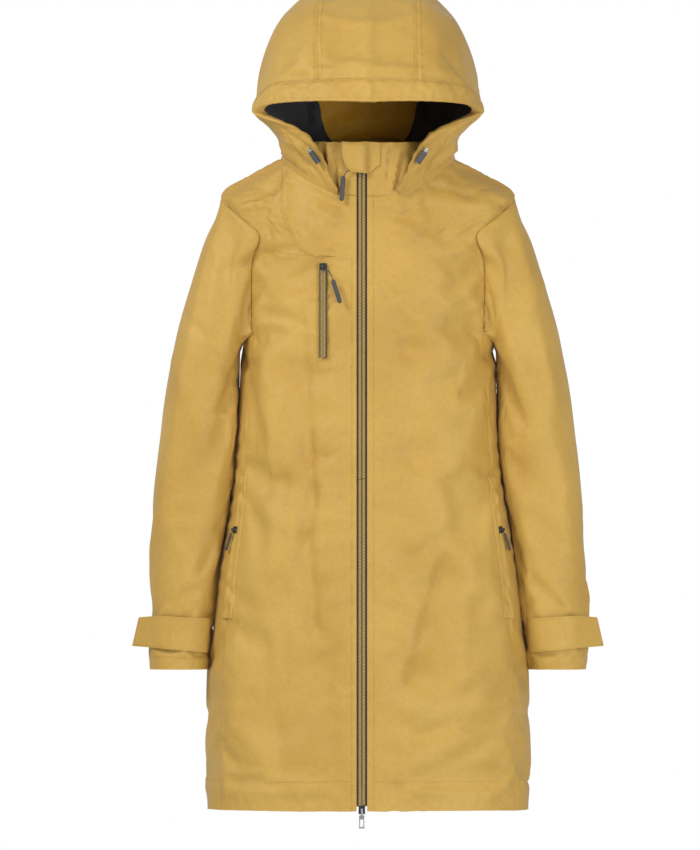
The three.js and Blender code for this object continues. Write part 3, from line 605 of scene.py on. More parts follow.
def hood_cloth():
    a = np.linspace(-1, 1, 110)[:, None]
    q = np.linspace(0, 1, 90)[None, :]
    base = hood_point(a, q)
    pins = held_by(
        base.shape[:2],
        smooth(np.abs(a), 0.97, 1.0),
        near(q, 0, 0.02) * 0.95,
        near(q, BRIM_SHARE, 0.02) * 0.5,
        smooth(q, 0.95, 1.0),
        near(np.abs(a), HOOD_CENTRE_SHARE, 0.015) * 0.4,
        0.03,
    )
    x, y, z = np.moveaxis(base, -1, 0)
    start = base.copy()
    start[..., 2] += 1.3 * noise(x / 30, y / 40, z / 40, seed=21) * (1 - pins)
    moves = simulate(start, pins, growth=0.016, gravity=0.1, bending=1.2, cap=6.0) + (start - base)
    out = unit(base - HOOD_MIDDLE, 1)
    front = smooth(-y, -10, 20)
    cheek = smooth(np.abs(a), 0.66, 0.8) * (1 - smooth(q, 0.25, 0.45)) * smooth(q, 0.0, 0.04)
    height = folded(HOOD_FOLDS, x, z) * front
    height = height + 1.6 * cheek * noise(x / 9, z / 15, seed=25)
    return moves + out * (height * (1 - pins))[..., None]


def gathers(at, a, q):
    """Moves the cloth of the hood's cheeks in and out, in the small folds that the drawcord makes of it."""
    x, y, z = np.moveaxis(at, -1, 0)
    across = 0.75 * z - 0.66 * np.abs(x)
    wave = np.sin(across / 2.9 + 1.6 * noise(x / 9, z / 9, seed=26))
    cheek = smooth(np.abs(a), 0.7, 0.84) * (1 - smooth(np.abs(a), 0.95, 1))
    cheek = cheek * (1 - smooth(q, 0.25, 0.4)) * smooth(q, 0, 0.03)
    out = unit(at - HOOD_MIDDLE, 1)
    return at + out * (2.3 * cheek * wave)[..., None]


TUCK = 0.03  # past the neck seam line, where the hood's edge turns in under the body's neck
TUCK_LEVEL, TUCK_IN = 0.975, 0.985  # the level of the body that it turns in to, and how far inside it


def hood(a, q):
    a, q = pair(a, q)
    on_hood, up_to_nape = np.clip(a, -1, 1), np.clip(q, 0, 1)
    at = hood_point(on_hood, up_to_nape) + sample(HOOD, (on_hood + 1) / 2, up_to_nape)
    at = gathers(at, on_hood, up_to_nape)
    share = np.clip(np.maximum(np.abs(a), q) / TUCK - 1 / TUCK, 0, 1)[..., None]
    if not share.any():
        return at
    phi = np.linspace(-math.pi, math.pi, 1440)
    ring = body_point(phi, np.full_like(phi, TUCK_LEVEL))
    flat = at.reshape(-1, 3)
    parts = np.array_split(flat, max(len(flat) // 2000, 1))
    closest = np.concatenate([np.linalg.norm(part[:, None] - ring, axis=-1).argmin(1) for part in parts])
    end = (ring[closest] * [TUCK_IN, TUCK_IN, 1]).reshape(at.shape)
    return at + (end - at) * share


def centre_share(q):
    """How far round from the crown line the centre strip reaches, so that it keeps its width to the nape."""
    return HOOD_CENTRE_SHARE + 0.24 * smooth(q, 0.45, 0.8)


# ---------------------------------------------------------------- meshes
def normals_of(points, ring=False):
    """Unit normals of a grid, which face out where columns run to the left of rows seen from outside."""
    if ring:
        across = np.roll(points, -1, axis=0) - np.roll(points, 1, axis=0)
    else:
        across = np.gradient(points, axis=0)
    along = np.gradient(points, axis=1)
    return unit(np.cross(across, along))


def dressed(name, mesh, material):
    """An object of a mesh, in a material and that material's slot."""
    mesh.materials.append(MATERIALS[material])
    made = in_scene(name, mesh)
    return made


def new_object(name, vertices, faces, material, uv=None):
    """A mesh object from vertices in the part's millimetres, set in the row frame in metres."""
    mesh = bpy.data.meshes.new(name)
    placed = (np.asarray(vertices, float) - [0, LOOP_Y, 0]) * MM
    mesh.from_pydata(placed.tolist(), [], [list(map(int, f)) for f in faces])
    if uv is not None:
        layer = mesh.uv_layers.new(name="cloth")
        loops = np.zeros(len(mesh.loops), int)
        mesh.loops.foreach_get("vertex_index", loops)
        layer.data.foreach_set("uv", np.asarray(uv, np.float32)[loops].reshape(-1))
    mesh.shade_smooth()
    mesh.set_sharp_from_angle(angle=SHARP_ANGLE)
    return dressed(name, mesh, material)


def lengths(points, axis):
    step = np.linalg.norm(np.diff(points, axis=axis), axis=-1)
    total = np.cumsum(step, axis=axis)
    return np.concatenate([np.zeros_like(np.take(total, [0], axis=axis)), total], axis=axis)


LEAST_SHARE = 0.31  # the least that a sheet's worked-out area is set to, as a share of its flat rectangle


def sheet(
    name, points, material="shell", thick=CLOTH, outer=0.0, flip=False, held="hung", rests_on=(), ring=False
):
    """A closed thin sheet whose outer face lies outer millimetres out from a grid of points. Its cut size is
    worked out but not used; held is None on a tape too narrow for that, which skips it."""
    normal = normals_of(points, ring) * (-1 if flip else 1)
    columns, rows = points.shape[:2]
    face = points + normal * np.asarray(outer, float)[..., None]
    back = face - normal * np.asarray(thick, float)[..., None]
    front = grid_faces(columns, rows, ring)
    if flip:
        front = front[:, ::-1]
    offset = columns * rows

    def rim(*edges):
        """Faces that join the outer face to the inner one along edges, given by their two ends' points."""
        strips = [np.stack([a, b, b + offset, a + offset], -1) for a, b in edges]
        return np.stack(strips, 1).reshape(-1, 4)[:, :: -1 if flip else 1]

    low = np.arange(columns if ring else columns - 1) * rows
    after, top = (low + rows) % offset, rows - 1
    rims = [rim((after, low), (low + top, after + top))]
    if not ring:
        j, last = np.arange(rows - 1), (columns - 1) * rows
        rims.append(rim((j, j + 1), (last + j + 1, last + j)))
    faces = np.concatenate([front, front[:, ::-1] + offset, *rims])
    across, along = lengths(points, 0), lengths(points, 1)
    uv = np.stack([across * MM, along * MM], -1).reshape(-1, 2)
    vertices = np.concatenate([face.reshape(-1, 3), back.reshape(-1, 3)])
    made = new_object(name, vertices, faces, material, np.concatenate([uv, uv]))
    if held is None:
        return made
    a, b = points[1:, :-1] - points[:-1, :-1], points[:-1, 1:] - points[:-1, :-1]
    area = float(np.linalg.norm(np.cross(a, b), axis=-1).sum()) * MM * MM
    closing = np.linalg.norm(points[-1] - points[0], axis=-1) if ring else 0
    width, length = float((across[-1] + closing).max()) * MM, float(along[:, -1].max()) * MM
    if ring:
        area *= columns / (columns - 1)
    flat = (round(width + 0.0005, 3), round(length + 0.0005, 3))
    area = min(max(area, LEAST_SHARE * flat[0] * flat[1]), flat[0] * flat[1])
    return made


def spaced(long, pitch=PITCH, fine=(0.0, 1.2, 3.0, 6.0)):
    """Shares from 0 to 1 along a length, close together near both ends."""
    ends = [f / long for f in fine if f < long / 3]
    inner = np.linspace(ends[-1], 1 - ends[-1], max(int((1 - 2 * ends[-1]) * long / pitch), 2) + 1)
    return np.concatenate([ends[:-1], inner, [1 - e for e in ends[:-1]][::-1]])


def seam_dip(points, edges, depth=1.1, pucker=0.8, seed=3):
    """How far cloth lies in or out near its seams: a groove at the edge, with small puckers beside it."""
    across, along = lengths(points, 0), lengths(points, 1)
    dip = np.zeros(points.shape[:2])
    sides = {
        "first": (across, along),
        "last": (across[-1:] - across, along),
        "low": (along, across),
        "top": (along[:, -1:] - along, across),
    }
    for number, edge in enumerate(edges):
        off, run = sides[edge]
        ripple = noise(run / 4.2, off / 14, seed=seed + number)
        dip += pucker * ripple * np.exp(-((off - 5) / 8) ** 2) - depth * np.exp(-((off / 1.8) ** 2))
    return dip


YOKE_LAP_Z = -134  # the right front runs up to here under the yoke's lower edge
V_ROWS = np.unique(np.concatenate([
    np.linspace(0, NECK, 200),
    [level_at(z) for z in (SKIRT_TOP_Z, -138, YOKE_LAP_Z - 0.4, YOKE_LAP_Z, HEM_Z + 2, HEM_Z + 5)],
    [ARMPIT, SHOULDER],
]))


def rows_between(low, high):
    inside = V_ROWS[(V_ROWS > low + 1e-4) & (V_ROWS < high - 1e-4)]
    return np.concatenate([[low], inside, [high]])


def torso_panel(name, first, last, low, high, wide, seams=("first", "last"), lift=0.0, seed=3, **options):
    """A panel of the body between two edges, given as angles at each level, lifted where it laps over one."""
    v = rows_between(low, high)[None, :]
    share = spaced(wide)[:, None]
    phi = lerp(first(v), last(v), share)
    points = torso(phi, v)
    outer = lift + seam_dip(points, seams, 0.5, seed=seed)
    thick = CLOTH + (HEM_THICK - CLOTH) * smooth(-(points[..., 2] - (HEM_Z + 24)), -1.5, 1.5)
    return sheet(name, points, outer=outer, thick=thick, **options)


# ---------------------------------------------------------------- stitches
def even_steps(points, step):
    """Points a step apart along a line of points, with the line's direction there."""
    run = np.concatenate([[0], np.cumsum(np.linalg.norm(np.diff(points, axis=0), axis=1))])
    places = np.arange(step / 2, run[-1] - step / 2, step)
    at = np.stack([np.interp(places, run, points[:, k]) for k in range(3)], -1)
    ahead = np.stack([np.interp(places + 0.4, run, points[:, k]) for k in range(3)], -1)
    return at, unit(ahead - at)


STITCH = {"step": 3.4, "long": 1.35, "waist": 0.6, "wide": 0.42, "high": 0.34, "rise": 0.12, "dip": 0.2}


def stitches(name, lines):
    """Rows of stitches, each a small lens of thread. lines are pairs of points and outward normals."""
    vertices, faces = [], []
    for points, normals in lines:
        at, way = even_steps(points, STITCH["step"])
        run = np.linalg.norm(points[:, None] - at[None], axis=-1).argmin(0)
        out = normals[run]
        side = np.cross(way, out)
        for centre, w, o, c in zip(at, way, out, side):
            k = len(vertices)
            middle, dip = centre + o * STITCH["rise"], o * STITCH["dip"]
            end, waist = w * STITCH["long"], w * STITCH["waist"]
            ring = [c * STITCH["wide"], o * STITCH["high"], -c * STITCH["wide"], -o * STITCH["high"]]
            vertices += [middle - end - dip, *[middle - waist + r for r in ring]]
            vertices += [*[middle + waist + r for r in ring], middle + end - dip]
            for m in range(4):
                n = (m + 1) % 4
                faces += [[k, k + 1 + n, k + 1 + m], [k + 9, k + 5 + m, k + 5 + n]]
                faces += [[k + 1 + m, k + 1 + n, k + 5 + n], [k + 1 + m, k + 5 + n, k + 5 + m]]
    return new_object(name, vertices, faces, "thread")


def line_on(surface, first, second, lift=0.0, flip=False):
    """A line on a surface, from arrays of its two coordinates, with its outward normals."""
    first, second = pair(first, second)
    nudge = 1e-3
    at = surface(first, second)
    across = surface(first + nudge, second) - surface(first - nudge, second)
    along = surface(first, second + nudge) - surface(first, second - nudge)
    normal = unit(np.cross(across, along) * (-1 if flip else 1))
    return at + normal * lift, normal


# ---------------------------------------------------------------- materials
def srgb(*colour):
    return tuple(c / 255 / 12.92 if c <= 10 else ((c / 255 + 0.055) / 1.055) ** 2.4 for c in colour) + (1.0,)


class Nodes:
    """A short way to build one material's node tree."""

    def __init__(self, name):
        self.material = bpy.data.materials.new(name)
        self.material.use_nodes = True
        self.tree = self.material.node_tree
        self.shader = self.tree.nodes["Principled BSDF"]

    def add(self, kind, inputs=None, **settings):
        node = self.tree.nodes.new(kind)
        for key, value in settings.items():
            setattr(node, key, value)
        for key, value in (inputs or {}).items():
            self.put(node.inputs[key], value)
        return node

    def put(self, socket, value):
        if isinstance(value, bpy.types.NodeSocket):
            self.tree.links.new(value, socket)
        else:
            socket.default_value = value

    def math(self, operation, *values):
        node = self.add("ShaderNodeMath", dict(enumerate(values)), operation=operation)
        return node.outputs[0]

    def mix(self, factor, a, b):
        node = self.add("ShaderNodeMix", data_type="RGBA")
        for key, value in (("Factor", factor), ("A", a), ("B", b)):
            self.put(node.inputs[key], value)
        return node.outputs["Result"]

    def noise(self, where, scale, detail=2.0, roughness=0.5):
        inputs = {"Vector": where, "Scale": scale, "Detail": detail, "Roughness": roughness}
        return self.add("ShaderNodeTexNoise", inputs).outputs["Fac"]

    def ramp(self, value, low, high):
        node = self.add("ShaderNodeMapRange", {"Value": value, "From Min": low, "From Max": high})
        return node.outputs["Result"]

    def bump(self, height, distance, strength=1.0, below=None):
        node = self.add("ShaderNodeBump", {"Height": height, "Distance": distance, "Strength": strength})
        if below is not None:
            self.put(node.inputs["Normal"], below)
        return node.outputs["Normal"]

    def finished(self, inputs):
        for key, value in inputs.items():
            self.put(self.shader.inputs[key], value)
        return self.material


def place_of(nodes):
    return nodes.add("ShaderNodeTexCoord").outputs["Object"]


def weave(nodes, pitch):
    """A plain weave's height, from 0 to 1, on the cloth's own directions, with threads a pitch apart."""
    uv = nodes.add("ShaderNodeUVMap", uv_map="cloth").outputs["UV"]
    parts = nodes.add("ShaderNodeSeparateXYZ", {"Vector": uv})
    turn = math.pi / pitch
    across = nodes.math("SINE", nodes.math("MULTIPLY", parts.outputs[0], turn))
    along = nodes.math("SINE", nodes.math("MULTIPLY", parts.outputs[1], turn))
    crossing = nodes.math("MULTIPLY", across, along)
    return nodes.math("MULTIPLY_ADD", crossing, 0.5, 0.5)


def fabric(name, light, dark, pitch, roughness, sheen, crumple=0.00035, weave_height=0.00006):
    """Woven cloth: two close tones, threads, small creases and a soft sheen."""
    nodes = Nodes(name)
    where = place_of(nodes)
    blotches = nodes.noise(where, 9.0, 3.0)
    fine = nodes.noise(where, 160.0, 2.0)
    tone = nodes.math("ADD", nodes.math("MULTIPLY", blotches, 0.7), nodes.math("MULTIPLY", fine, 0.3))
    thread = weave(nodes, pitch)
    colour = nodes.mix(nodes.ramp(tone, 0.38, 0.62), dark, light)
    shade = nodes.mix(nodes.math("MULTIPLY", thread, 0.10), colour, dark)
    small = nodes.noise(where, 55.0, 4.0, 0.6)
    creases = nodes.math("ADD", small, nodes.math("MULTIPLY", nodes.noise(where, 18.0, 2.0), 1.2))
    return nodes.finished({
        "Base Color": shade,
        "Normal": nodes.bump(thread, weave_height, below=nodes.bump(creases, crumple)),
        "Roughness": nodes.math("MULTIPLY_ADD", blotches, 0.12, roughness),
        "Sheen Weight": sheen,
        "Sheen Roughness": 0.4,
        "Specular IOR Level": 0.35,
    })


def mesh_lining(name):
    """A knitted mesh: a navy ground with rows of small holes, painted near black as the shade seen through
    them.
    """
    nodes = Nodes(name)
    uv = nodes.add("ShaderNodeUVMap", uv_map="cloth").outputs["UV"]
    cells = nodes.add("ShaderNodeTexVoronoi", {"Vector": uv, "Scale": 620.0, "Randomness": 0.15})
    hole = nodes.ramp(cells.outputs["Distance"], 0.22, 0.4)
    tone = nodes.noise(place_of(nodes), 30.0)
    yarn = nodes.mix(tone, srgb(20, 20, 27), srgb(30, 31, 42))
    # The holes take near black: painted shade seen through the mesh.
    colour = nodes.mix(hole, srgb(8, 8, 11), yarn)
    normal = nodes.bump(hole, 0.0004)
    return nodes.finished({"Base Color": colour, "Normal": normal, "Roughness": 0.8, "Sheen Weight": 0.15})


def smooth_part(name, light, dark, roughness, metallic=0.0, edge_colour=None):
    """A moulded, rubber or metal part: fine grain, and a lighter colour on its sharp edges where one is given
    for them.
    """
    nodes = Nodes(name)
    where = place_of(nodes)
    tone = nodes.noise(where, 400.0, 3.0)
    colour = nodes.mix(tone, dark, light)
    if edge_colour is not None:
        # Sharp edges, found by pointiness, take the lighter colour.
        edge = nodes.add("ShaderNodeNewGeometry").outputs["Pointiness"]
        colour = nodes.mix(nodes.ramp(edge, 0.53, 0.62), colour, edge_colour)
    return nodes.finished({
        "Base Color": colour,
        "Roughness": nodes.math("MULTIPLY_ADD", nodes.noise(where, 90.0), 0.2, roughness - 0.1),
        "Normal": nodes.bump(tone, 0.00005),
        "Metallic": metallic,
    })


MATERIALS = {
    "shell": fabric("shell_cloth", srgb(186, 150, 72), srgb(176, 139, 62), 0.0011, 0.52, 0.12),
    "lining": mesh_lining("lining_mesh"),
    "taffeta": fabric("lining_taffeta", srgb(30, 31, 42), srgb(20, 21, 28), 0.0008, 0.4, 0.1),
    "tape": fabric("zip_tape", srgb(76, 70, 58), srgb(56, 52, 45), 0.0009, 0.6, 0.05, crumple=0.0001),
    "teeth": smooth_part("zip_teeth", srgb(172, 142, 84), srgb(138, 112, 62), 0.34, edge_colour=srgb(190, 162, 104)),
    "coil": fabric("zip_coil_bed", srgb(112, 90, 50), srgb(84, 68, 42), 0.0012, 0.5, 0.05, crumple=0.0001),
    "slider": smooth_part(
        "slider_enamel", srgb(56, 57, 59), srgb(42, 43, 45), 0.38, metallic=0.5, edge_colour=srgb(110, 110, 110)
    ),
    "pull": smooth_part("pull_rubber", srgb(66, 65, 66), srgb(52, 51, 52), 0.55, edge_colour=srgb(96, 95, 95)),
    "metal": smooth_part("brushed_metal", srgb(186, 186, 188), srgb(150, 150, 153), 0.32, 1.0),
    # The hood's inner face: the shell cloth in a warmer, more saturated orange than its outside, painted
    # bounce light from the yellow cloth around it.
    "hood_inner": fabric("hood_inner_cloth_painted_bounce", srgb(200, 148, 34), srgb(182, 132, 26), 0.0011, 0.6, 0.08),
    "inside": fabric("inner_cloth", srgb(150, 118, 52), srgb(140, 108, 44), 0.0011, 0.6, 0.08),
    "loop_tape": fabric("loop_tape", srgb(40, 40, 46), srgb(26, 26, 30), 0.0012, 0.7, 0.1),
    "hook_tape": fabric("hook_tape", srgb(70, 66, 58), srgb(50, 47, 42), 0.0016, 0.8, 0.2, 0.00035, 0.0004),
    "cord": fabric("braided_cord", srgb(80, 77, 70), srgb(52, 50, 46), 0.0012, 0.6, 0.1),
    "lock": smooth_part("lock_plastic", srgb(70, 71, 78), srgb(54, 55, 61), 0.42, edge_colour=srgb(110, 110, 116)),
    "thread": fabric("sewing_thread", srgb(190, 154, 78), srgb(172, 136, 62), 0.0005, 0.5, 0.2, 0.00005),
}


# ---------------------------------------------------------------- how pieces ride the bodies or stay put, and hide the CAD nodes they show
def standing_for(piece, nodes):
    """Hides the CAD nodes that a piece shows, where there are any."""
    if nodes:
        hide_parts(*nodes)


def ride(piece, body, *nodes):
    standing_for(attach(piece, body), nodes)


def with_front(piece, side, *nodes):
    standing_for(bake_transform(piece), nodes)


def with_sleeve(piece, side, *nodes):
    start, along = (Vector(place) * Vector((side, 1, 1)) for place in (SHOULDER_AT, ARM_WAY))
    standing_for(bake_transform(piece), nodes)


def with_hood(piece, *nodes):
    standing_for(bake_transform(piece), nodes)


TORSO = torso_cloth()
SLEEVES = {1: sleeve_cloth(1, 31), -1: sleeve_cloth(-1, 42)}
HOOD = hood_cloth()


# ---------------------------------------------------------------- body panels
YOKE_HEIGHTS, YOKE_X = [-138, -128, -99, -77, 14], [69, 94, 113, 122, 132]


def yoke_edge(v):
    """The chest yoke's curved edge on the wearer's right, from the neck seam down and in to the zip."""
    x = np.minimum(np.interp(through(RINGS["front"], v), YOKE_HEIGHTS, YOKE_X), half_at(v) * 0.93)
    edge = np.minimum(angle_at_x(x, v), armhole_front(v) - math.radians(4))
    return math.pi - edge


def right_inner(v):
    """The right front's inner edge: beside the zip, and above the yoke line under the yoke's own edge."""
    return np.where(through(RINGS["front"], v) > YOKE_LAP_Z - 0.2, yoke_edge(v) + 0.022, zip_edge(-1)(v))


def edges_on(side, first, last):
    """Two edges of a piece on the left, or the same on the right, in the order that keeps it facing out."""
    return (first, last) if side > 0 else (mirrored_angle(last), mirrored_angle(first))


def body_panels():
    edges = armhole_back, mirrored_angle(armhole_back)
    ride(torso_panel("back", *edges, 0, NECK, 430, rests_on=["hanger_loop"]), "body", "back_panel")
    for side, hand in NAME.items():
        edges = edges_on(side, steady(SIDE_SEAM), steady(BACK_SEAM))
        made = torso_panel(f"side_{hand}", *edges, 0, ARMPIT, 150, ("first", "last", "top"), seed=9 + side)
        ride(made, "body", f"side_panel_{hand}")
    left = torso_panel("front_left_cloth", zip_edge(1), armhole_front, 0, NECK, 215, seed=17)
    with_front(left, 1, "front_panel_left", "front_skirt_left")
    edges = mirrored_angle(armhole_front), right_inner
    right = torso_panel("front_right_cloth", *edges, 0, NECK, 200, seed=23)
    with_front(right, -1, "front_panel_right", "front_skirt_right")
    edges = yoke_edge, zip_edge(-1)
    yoke = torso_panel("chest_yoke_cloth", *edges, level_at(-138), NECK, 120, ("first", "low"), 0.7, seed=29)
    ride(yoke, "body", "chest_yoke")


body_panels()


# ---------------------------------------------------------------- linings and pocket bags
LINING_DEPTH, BAG_DEPTH = -8.0, -4.4
LINING_STEP = 9.0


def lining_panel(name, edges, low, high, wide, depth=LINING_DEPTH):
    first, last = edges
    v = rows_between(low, high)[None, ::2]
    phi = lerp(first(v), last(v), np.linspace(0, 1, int(wide / LINING_STEP))[:, None])
    return sheet(name, torso(phi, v), "taffeta", thick=0.5, outer=depth)


def lining_edge(side):
    def edge(v):
        angle = angle_at_x(ZIP_EDGE + side * ZIP_X + 20, v)
        return angle if side > 0 else math.pi - angle
    return edge


def linings():
    low, top, waist = level_at(HEM_Z + 24), level_at(SKIRT_TOP_Z), level_at(-256)
    seam = steady(SIDE_SEAM)
    back = lining_panel("lining_back_cloth", (seam, mirrored_angle(seam)), low, top, 700)
    ride(back, "body", "lining_back")
    upper = lining_panel("lining_upper_cloth", (lining_edge(1), lining_edge(-1)), top, waist, 900)
    ride(upper, "body", "lining_upper")
    for side, hand in NAME.items():
        edges = (lining_edge(1), seam) if side > 0 else (mirrored_angle(seam), lining_edge(-1))
        made = lining_panel(f"lining_skirt_cloth_{hand}", edges, low, top, 190)
        with_front(made, side, f"lining_skirt_{hand}")
        edges = edges_on(side, steady(math.radians(-62)), steady(math.radians(-28)))
        bag = lining_panel(f"pocket_bag_cloth_{hand}", edges, level_at(-700), level_at(-466), 110, BAG_DEPTH)
        with_front(bag, side, f"pocket_bag_{hand}")
    edges = steady(math.radians(228)), steady(math.radians(258))
    bag = lining_panel("chest_pocket_bag_cloth", edges, level_at(-320), level_at(-150), 90, BAG_DEPTH)
    ride(bag, "body", "chest_pocket_bag")


linings()


# ---------------------------------------------------------------- sleeves
def armhole_binding(side, hand):
    """The tape that seals the armhole's seam inside, from the body's cloth to the sleeve's."""
    psi = np.linspace(0, 2 * math.pi, 260)[:-1]
    phi, v = armhole_place(psi)
    off = np.mod(psi, 2 * math.pi) - math.pi
    under = 1 - smooth(np.abs(off), ARMPIT_SPAN - 0.12, ARMPIT_SPAN + 0.12)
    lines = []
    for inset in (6, 2, 0):
        turned = phi + np.where(off < 0, 1, -1) * (1 - under) * inset / half_at(v)
        lines.append(line_on(torso, turned if side > 0 else math.pi - turned, v - under * inset / 1520))
    lines += [line_on(sleeve(side), psi, s, flip=side > 0) for s in (0.003, 0.007)]
    points = np.stack([at - out * depth for (at, out), depth in zip(lines, (2.0, 1.8, 2.0, 1.8, 2.0))], 1)
    with_sleeve(sheet(f"armhole_tape_{hand}", points, "inside", 0.4, ring=True, flip=side < 0), side)


def sleeves():
    panels = (("top", -SLEEVE_SEAM, SLEEVE_SEAM, 330), ("under", SLEEVE_SEAM, 2 * math.pi - SLEEVE_SEAM, 110))
    for side, hand in NAME.items():
        armhole_binding(side, hand)
        cloth = sleeve(side)
        s = spaced(700)[None, :]
        for part, first, last, wide in panels:
            points = cloth(lerp(first, last, spaced(wide))[:, None], s)
            outer = seam_dip(points, ("first", "last", "low"), 0.45, seed=50 + side)
            thick = CLOTH + (HEM_THICK - CLOTH) * smooth(np.broadcast_to(s, outer.shape), 0.966, 0.972)
            made = sheet(f"sleeve_{part}_cloth_{hand}", points, outer=outer, thick=thick, flip=side > 0)
            with_sleeve(made, side, f"sleeve_{part}_{hand}")
        psi = np.arange(48)[:, None] / 48 * 2 * math.pi
        inside = cloth(psi, np.linspace(0.17, 0.955, 60)[None, :])
        lining = sheet(f"sleeve_lining_cloth_{hand}", inside, "taffeta", 0.5, -6.0, flip=side > 0, ring=True)
        with_sleeve(lining, side, f"sleeve_lining_{hand}")


sleeves()


# ---------------------------------------------------------------- hood
def hood_panel(name, first, last, wide, long):
    """A panel of the hood between two edges, from the brim to the nape. Its columns grow towards the left."""
    q = lerp(BRIM_SHARE, 1 + TUCK, spaced(long))[None, :]
    points = hood(lerp(first(q), last(q), spaced(wide)[:, None]), q)
    return sheet(name, points, outer=seam_dip(points, ("first", "last", "low"), seed=70))


def hood_pieces():
    end = steady(1 + TUCK)
    left, right = centre_share, (lambda q: -centre_share(q))
    with_hood(hood_panel("hood_center_cloth", right, left, 145, 470), "hood_center")
    for side, hand in NAME.items():
        edges = (left, end) if side > 0 else ((lambda q: -end(q)), right)
        with_hood(hood_panel(f"hood_side_cloth_{hand}", *edges, 300, 330), f"hood_side_{hand}")
        q = np.linspace(0.17, 0.97, 60)[None, :]
        a = lerp(centre_share(q) + 0.01, 0.95, np.linspace(0, 1, 50)[:, None])
        a = a if side > 0 else -a[::-1]
        with_hood(sheet(f"hood_mesh_cloth_{hand}", hood(a, q), "lining", 0.5, -5.0), f"hood_mesh_{hand}")
    a = lerp(-1 - TUCK, 1 + TUCK, spaced(900, 4.0))[:, None]
    q = lerp(0, BRIM_SHARE, spaced(40, 4.0))[None, :]
    points = hood(a, q)
    brim = sheet("hood_brim_cloth", points, outer=seam_dip(points, ("top",), seed=77) + 0.3, thick=3.0)
    with_hood(brim, "hood_brim")
    hood_inside()
    drawcord()


def hood_inside():
    """The centre strip's inner layer, and the brim's facing, which rolls in most at the opening's corners."""
    q = np.linspace(0.1, 0.97, 70)[None, :]
    a = lerp(-centre_share(q) - 0.012, centre_share(q) + 0.012, np.linspace(0, 1, 36)[:, None])
    points = hood(a, q)
    x, y, z = np.moveaxis(points, -1, 0)
    slack = 3.0 * noise(x / 5, y / 7, z / 5, seed=27) + 3.0 * noise(x / 11, z / 13, seed=28)
    # Its material is the shell cloth tinted orange: painted bounce light from the yellow cloth.
    with_hood(sheet("hood_center_inner_cloth", points, "hood_inner", 0.5, -3.2 + np.minimum(slack, 1.6)))
    a = lerp(-0.97, 0.97, spaced(900, 4.0))[:, None]
    edge, out = line_on(hood, a, 0.006)
    x, z = edge[..., 0], edge[..., 2]
    inward = unit(point(-x, 0 * x, 66 - z))
    wide = (2.5 + 13 * near(np.abs(a), 0.6, 0.09) * (1 + 0.25 * noise(a * 30, seed=29)))[..., None]
    t = np.linspace(0, 1, 7)[None, :, None]
    points = edge - out * 2.6 + inward * (wide * t) + point(0, 1, 0) * (0.7 * wide * t**2)
    with_hood(sheet("hood_facing_cloth", points, "shell", 0.7))


DRAWCORD = {"radius": 1.4, "depth": 2.9, "q": 0.11, "end": 0.9}


def drawcord():
    """The braided cord in its channel behind the brim, between the shell and the mesh."""
    a = np.linspace(-DRAWCORD["end"], DRAWCORD["end"], 240)
    at, out = line_on(hood, a, DRAWCORD["q"])
    side = np.cross(unit(np.gradient(at, axis=0)), out)
    turn = np.linspace(0, 2 * math.pi, 11)[:-1, None, None]
    ring = np.cos(turn) * side + np.sin(turn) * out
    points = at - out * DRAWCORD["depth"] + ring * DRAWCORD["radius"]
    braid = sheet("hood_drawcord_braid", points, "cord", 0.5, ring=True, flip=True, held=None)
    with_hood(braid, "hood_drawcord")


hood_pieces()


# ---------------------------------------------------------------- collar and chin guard
# Folds of the collar beside the chin guard, as in the fronts' list.
COLLAR_FOLDS = [
    ((-68, 30), (-63, -8), 3.6, -4.5),
    ((-58, 30), (-56, -10), 3.4, 3.0),
    ((-50, 26), (-47, -34), 3.6, -4.8),
    ((-42, -14), (-38, -40), 3.4, 2.4),
    ((33, 24), (28, -30), 3.4, -3.6),
    ((42, 20), (37, -22), 3.4, 2.6),
    ((52, 14), (40, -38), 3.8, -4.8),
    ((60, 8), (52, -20), 3.6, 2.6),
]


def collar_angles(height, edge):
    """Where the collar's two front edges stand, at heights from 0 to 1."""
    def angle(x):
        return -np.arccos(bulge(x / collar_half(height), 1 / COLLAR_ROUNDNESS))

    return angle(edge + ZIP_X), math.pi - angle(edge - ZIP_X)


def collar_patch(s, height, edge):
    first, last = collar_angles(height, edge)
    points = collar_point(lerp(first, last, s), height)
    x, y, z = np.moveaxis(points, -1, 0)
    slack = smooth(height, 0.0, 0.3) * smooth(np.minimum(s, 1 - s), 0.01, 0.08)
    crumple = 3.4 * noise(x / 3.8, y / 3.8, z / 11, seed=83) + 2.6 * noise(x / 9, y / 10, seed=84)
    folds = folded(COLLAR_FOLDS, x, z) * smooth(-y, 20, 50)
    out = unit(point(x, y, 0 * z), 1)
    return points + out * (slack * crumple + folds * smooth(height, -0.05, 0.05))[..., None]


def collar():
    s = spaced(430, 2.6)[:, None]
    t = spaced(74, 3.5)[None, :]
    height = np.concatenate([[[-0.09, -0.03]], t], 1)
    points = collar_patch(s, height, ZIP_EDGE)
    outer = seam_dip(points, ("top",), 0.8, 0.5, seed=85) - 1.7 * (1 - smooth(height, -0.02, 0.02))
    ride(sheet("collar_cloth", points, outer=outer, thick=1.6), "body", "collar")
    inside = collar_patch(s, lerp(0.1, 0.97, t), ZIP_EDGE + 4)
    ride(sheet("collar_lining_cloth", inside, "inside", 0.8, -3.0), "body", "collar_lining")


collar()

LEAN = math.atan(ZIP_LEAN)


def on_zip(z, points):
    """Points of a frame that stands on the zip at height z, with Z up the zip and -Y out of the coat."""
    x, y, up = np.moveaxis(np.asarray(points, float), -1, 0)
    c, s = math.cos(LEAN), math.sin(LEAN)
    return point(x + ZIP_X, y * c + up * s + zip_y(z), up * c - y * s + z)


GUARD = {"fold": 5.5, "left": -29, "right": 26, "top": 33, "low": -13, "out": -10.6, "base": -2.2}


def guard_low(x):
    """The chin guard's rounded lower edge."""
    share = np.clip((GUARD["fold"] - x) / (GUARD["fold"] - GUARD["left"]), 0, 1)
    return GUARD["low"] + 2.5 * share + 24.5 * share**6


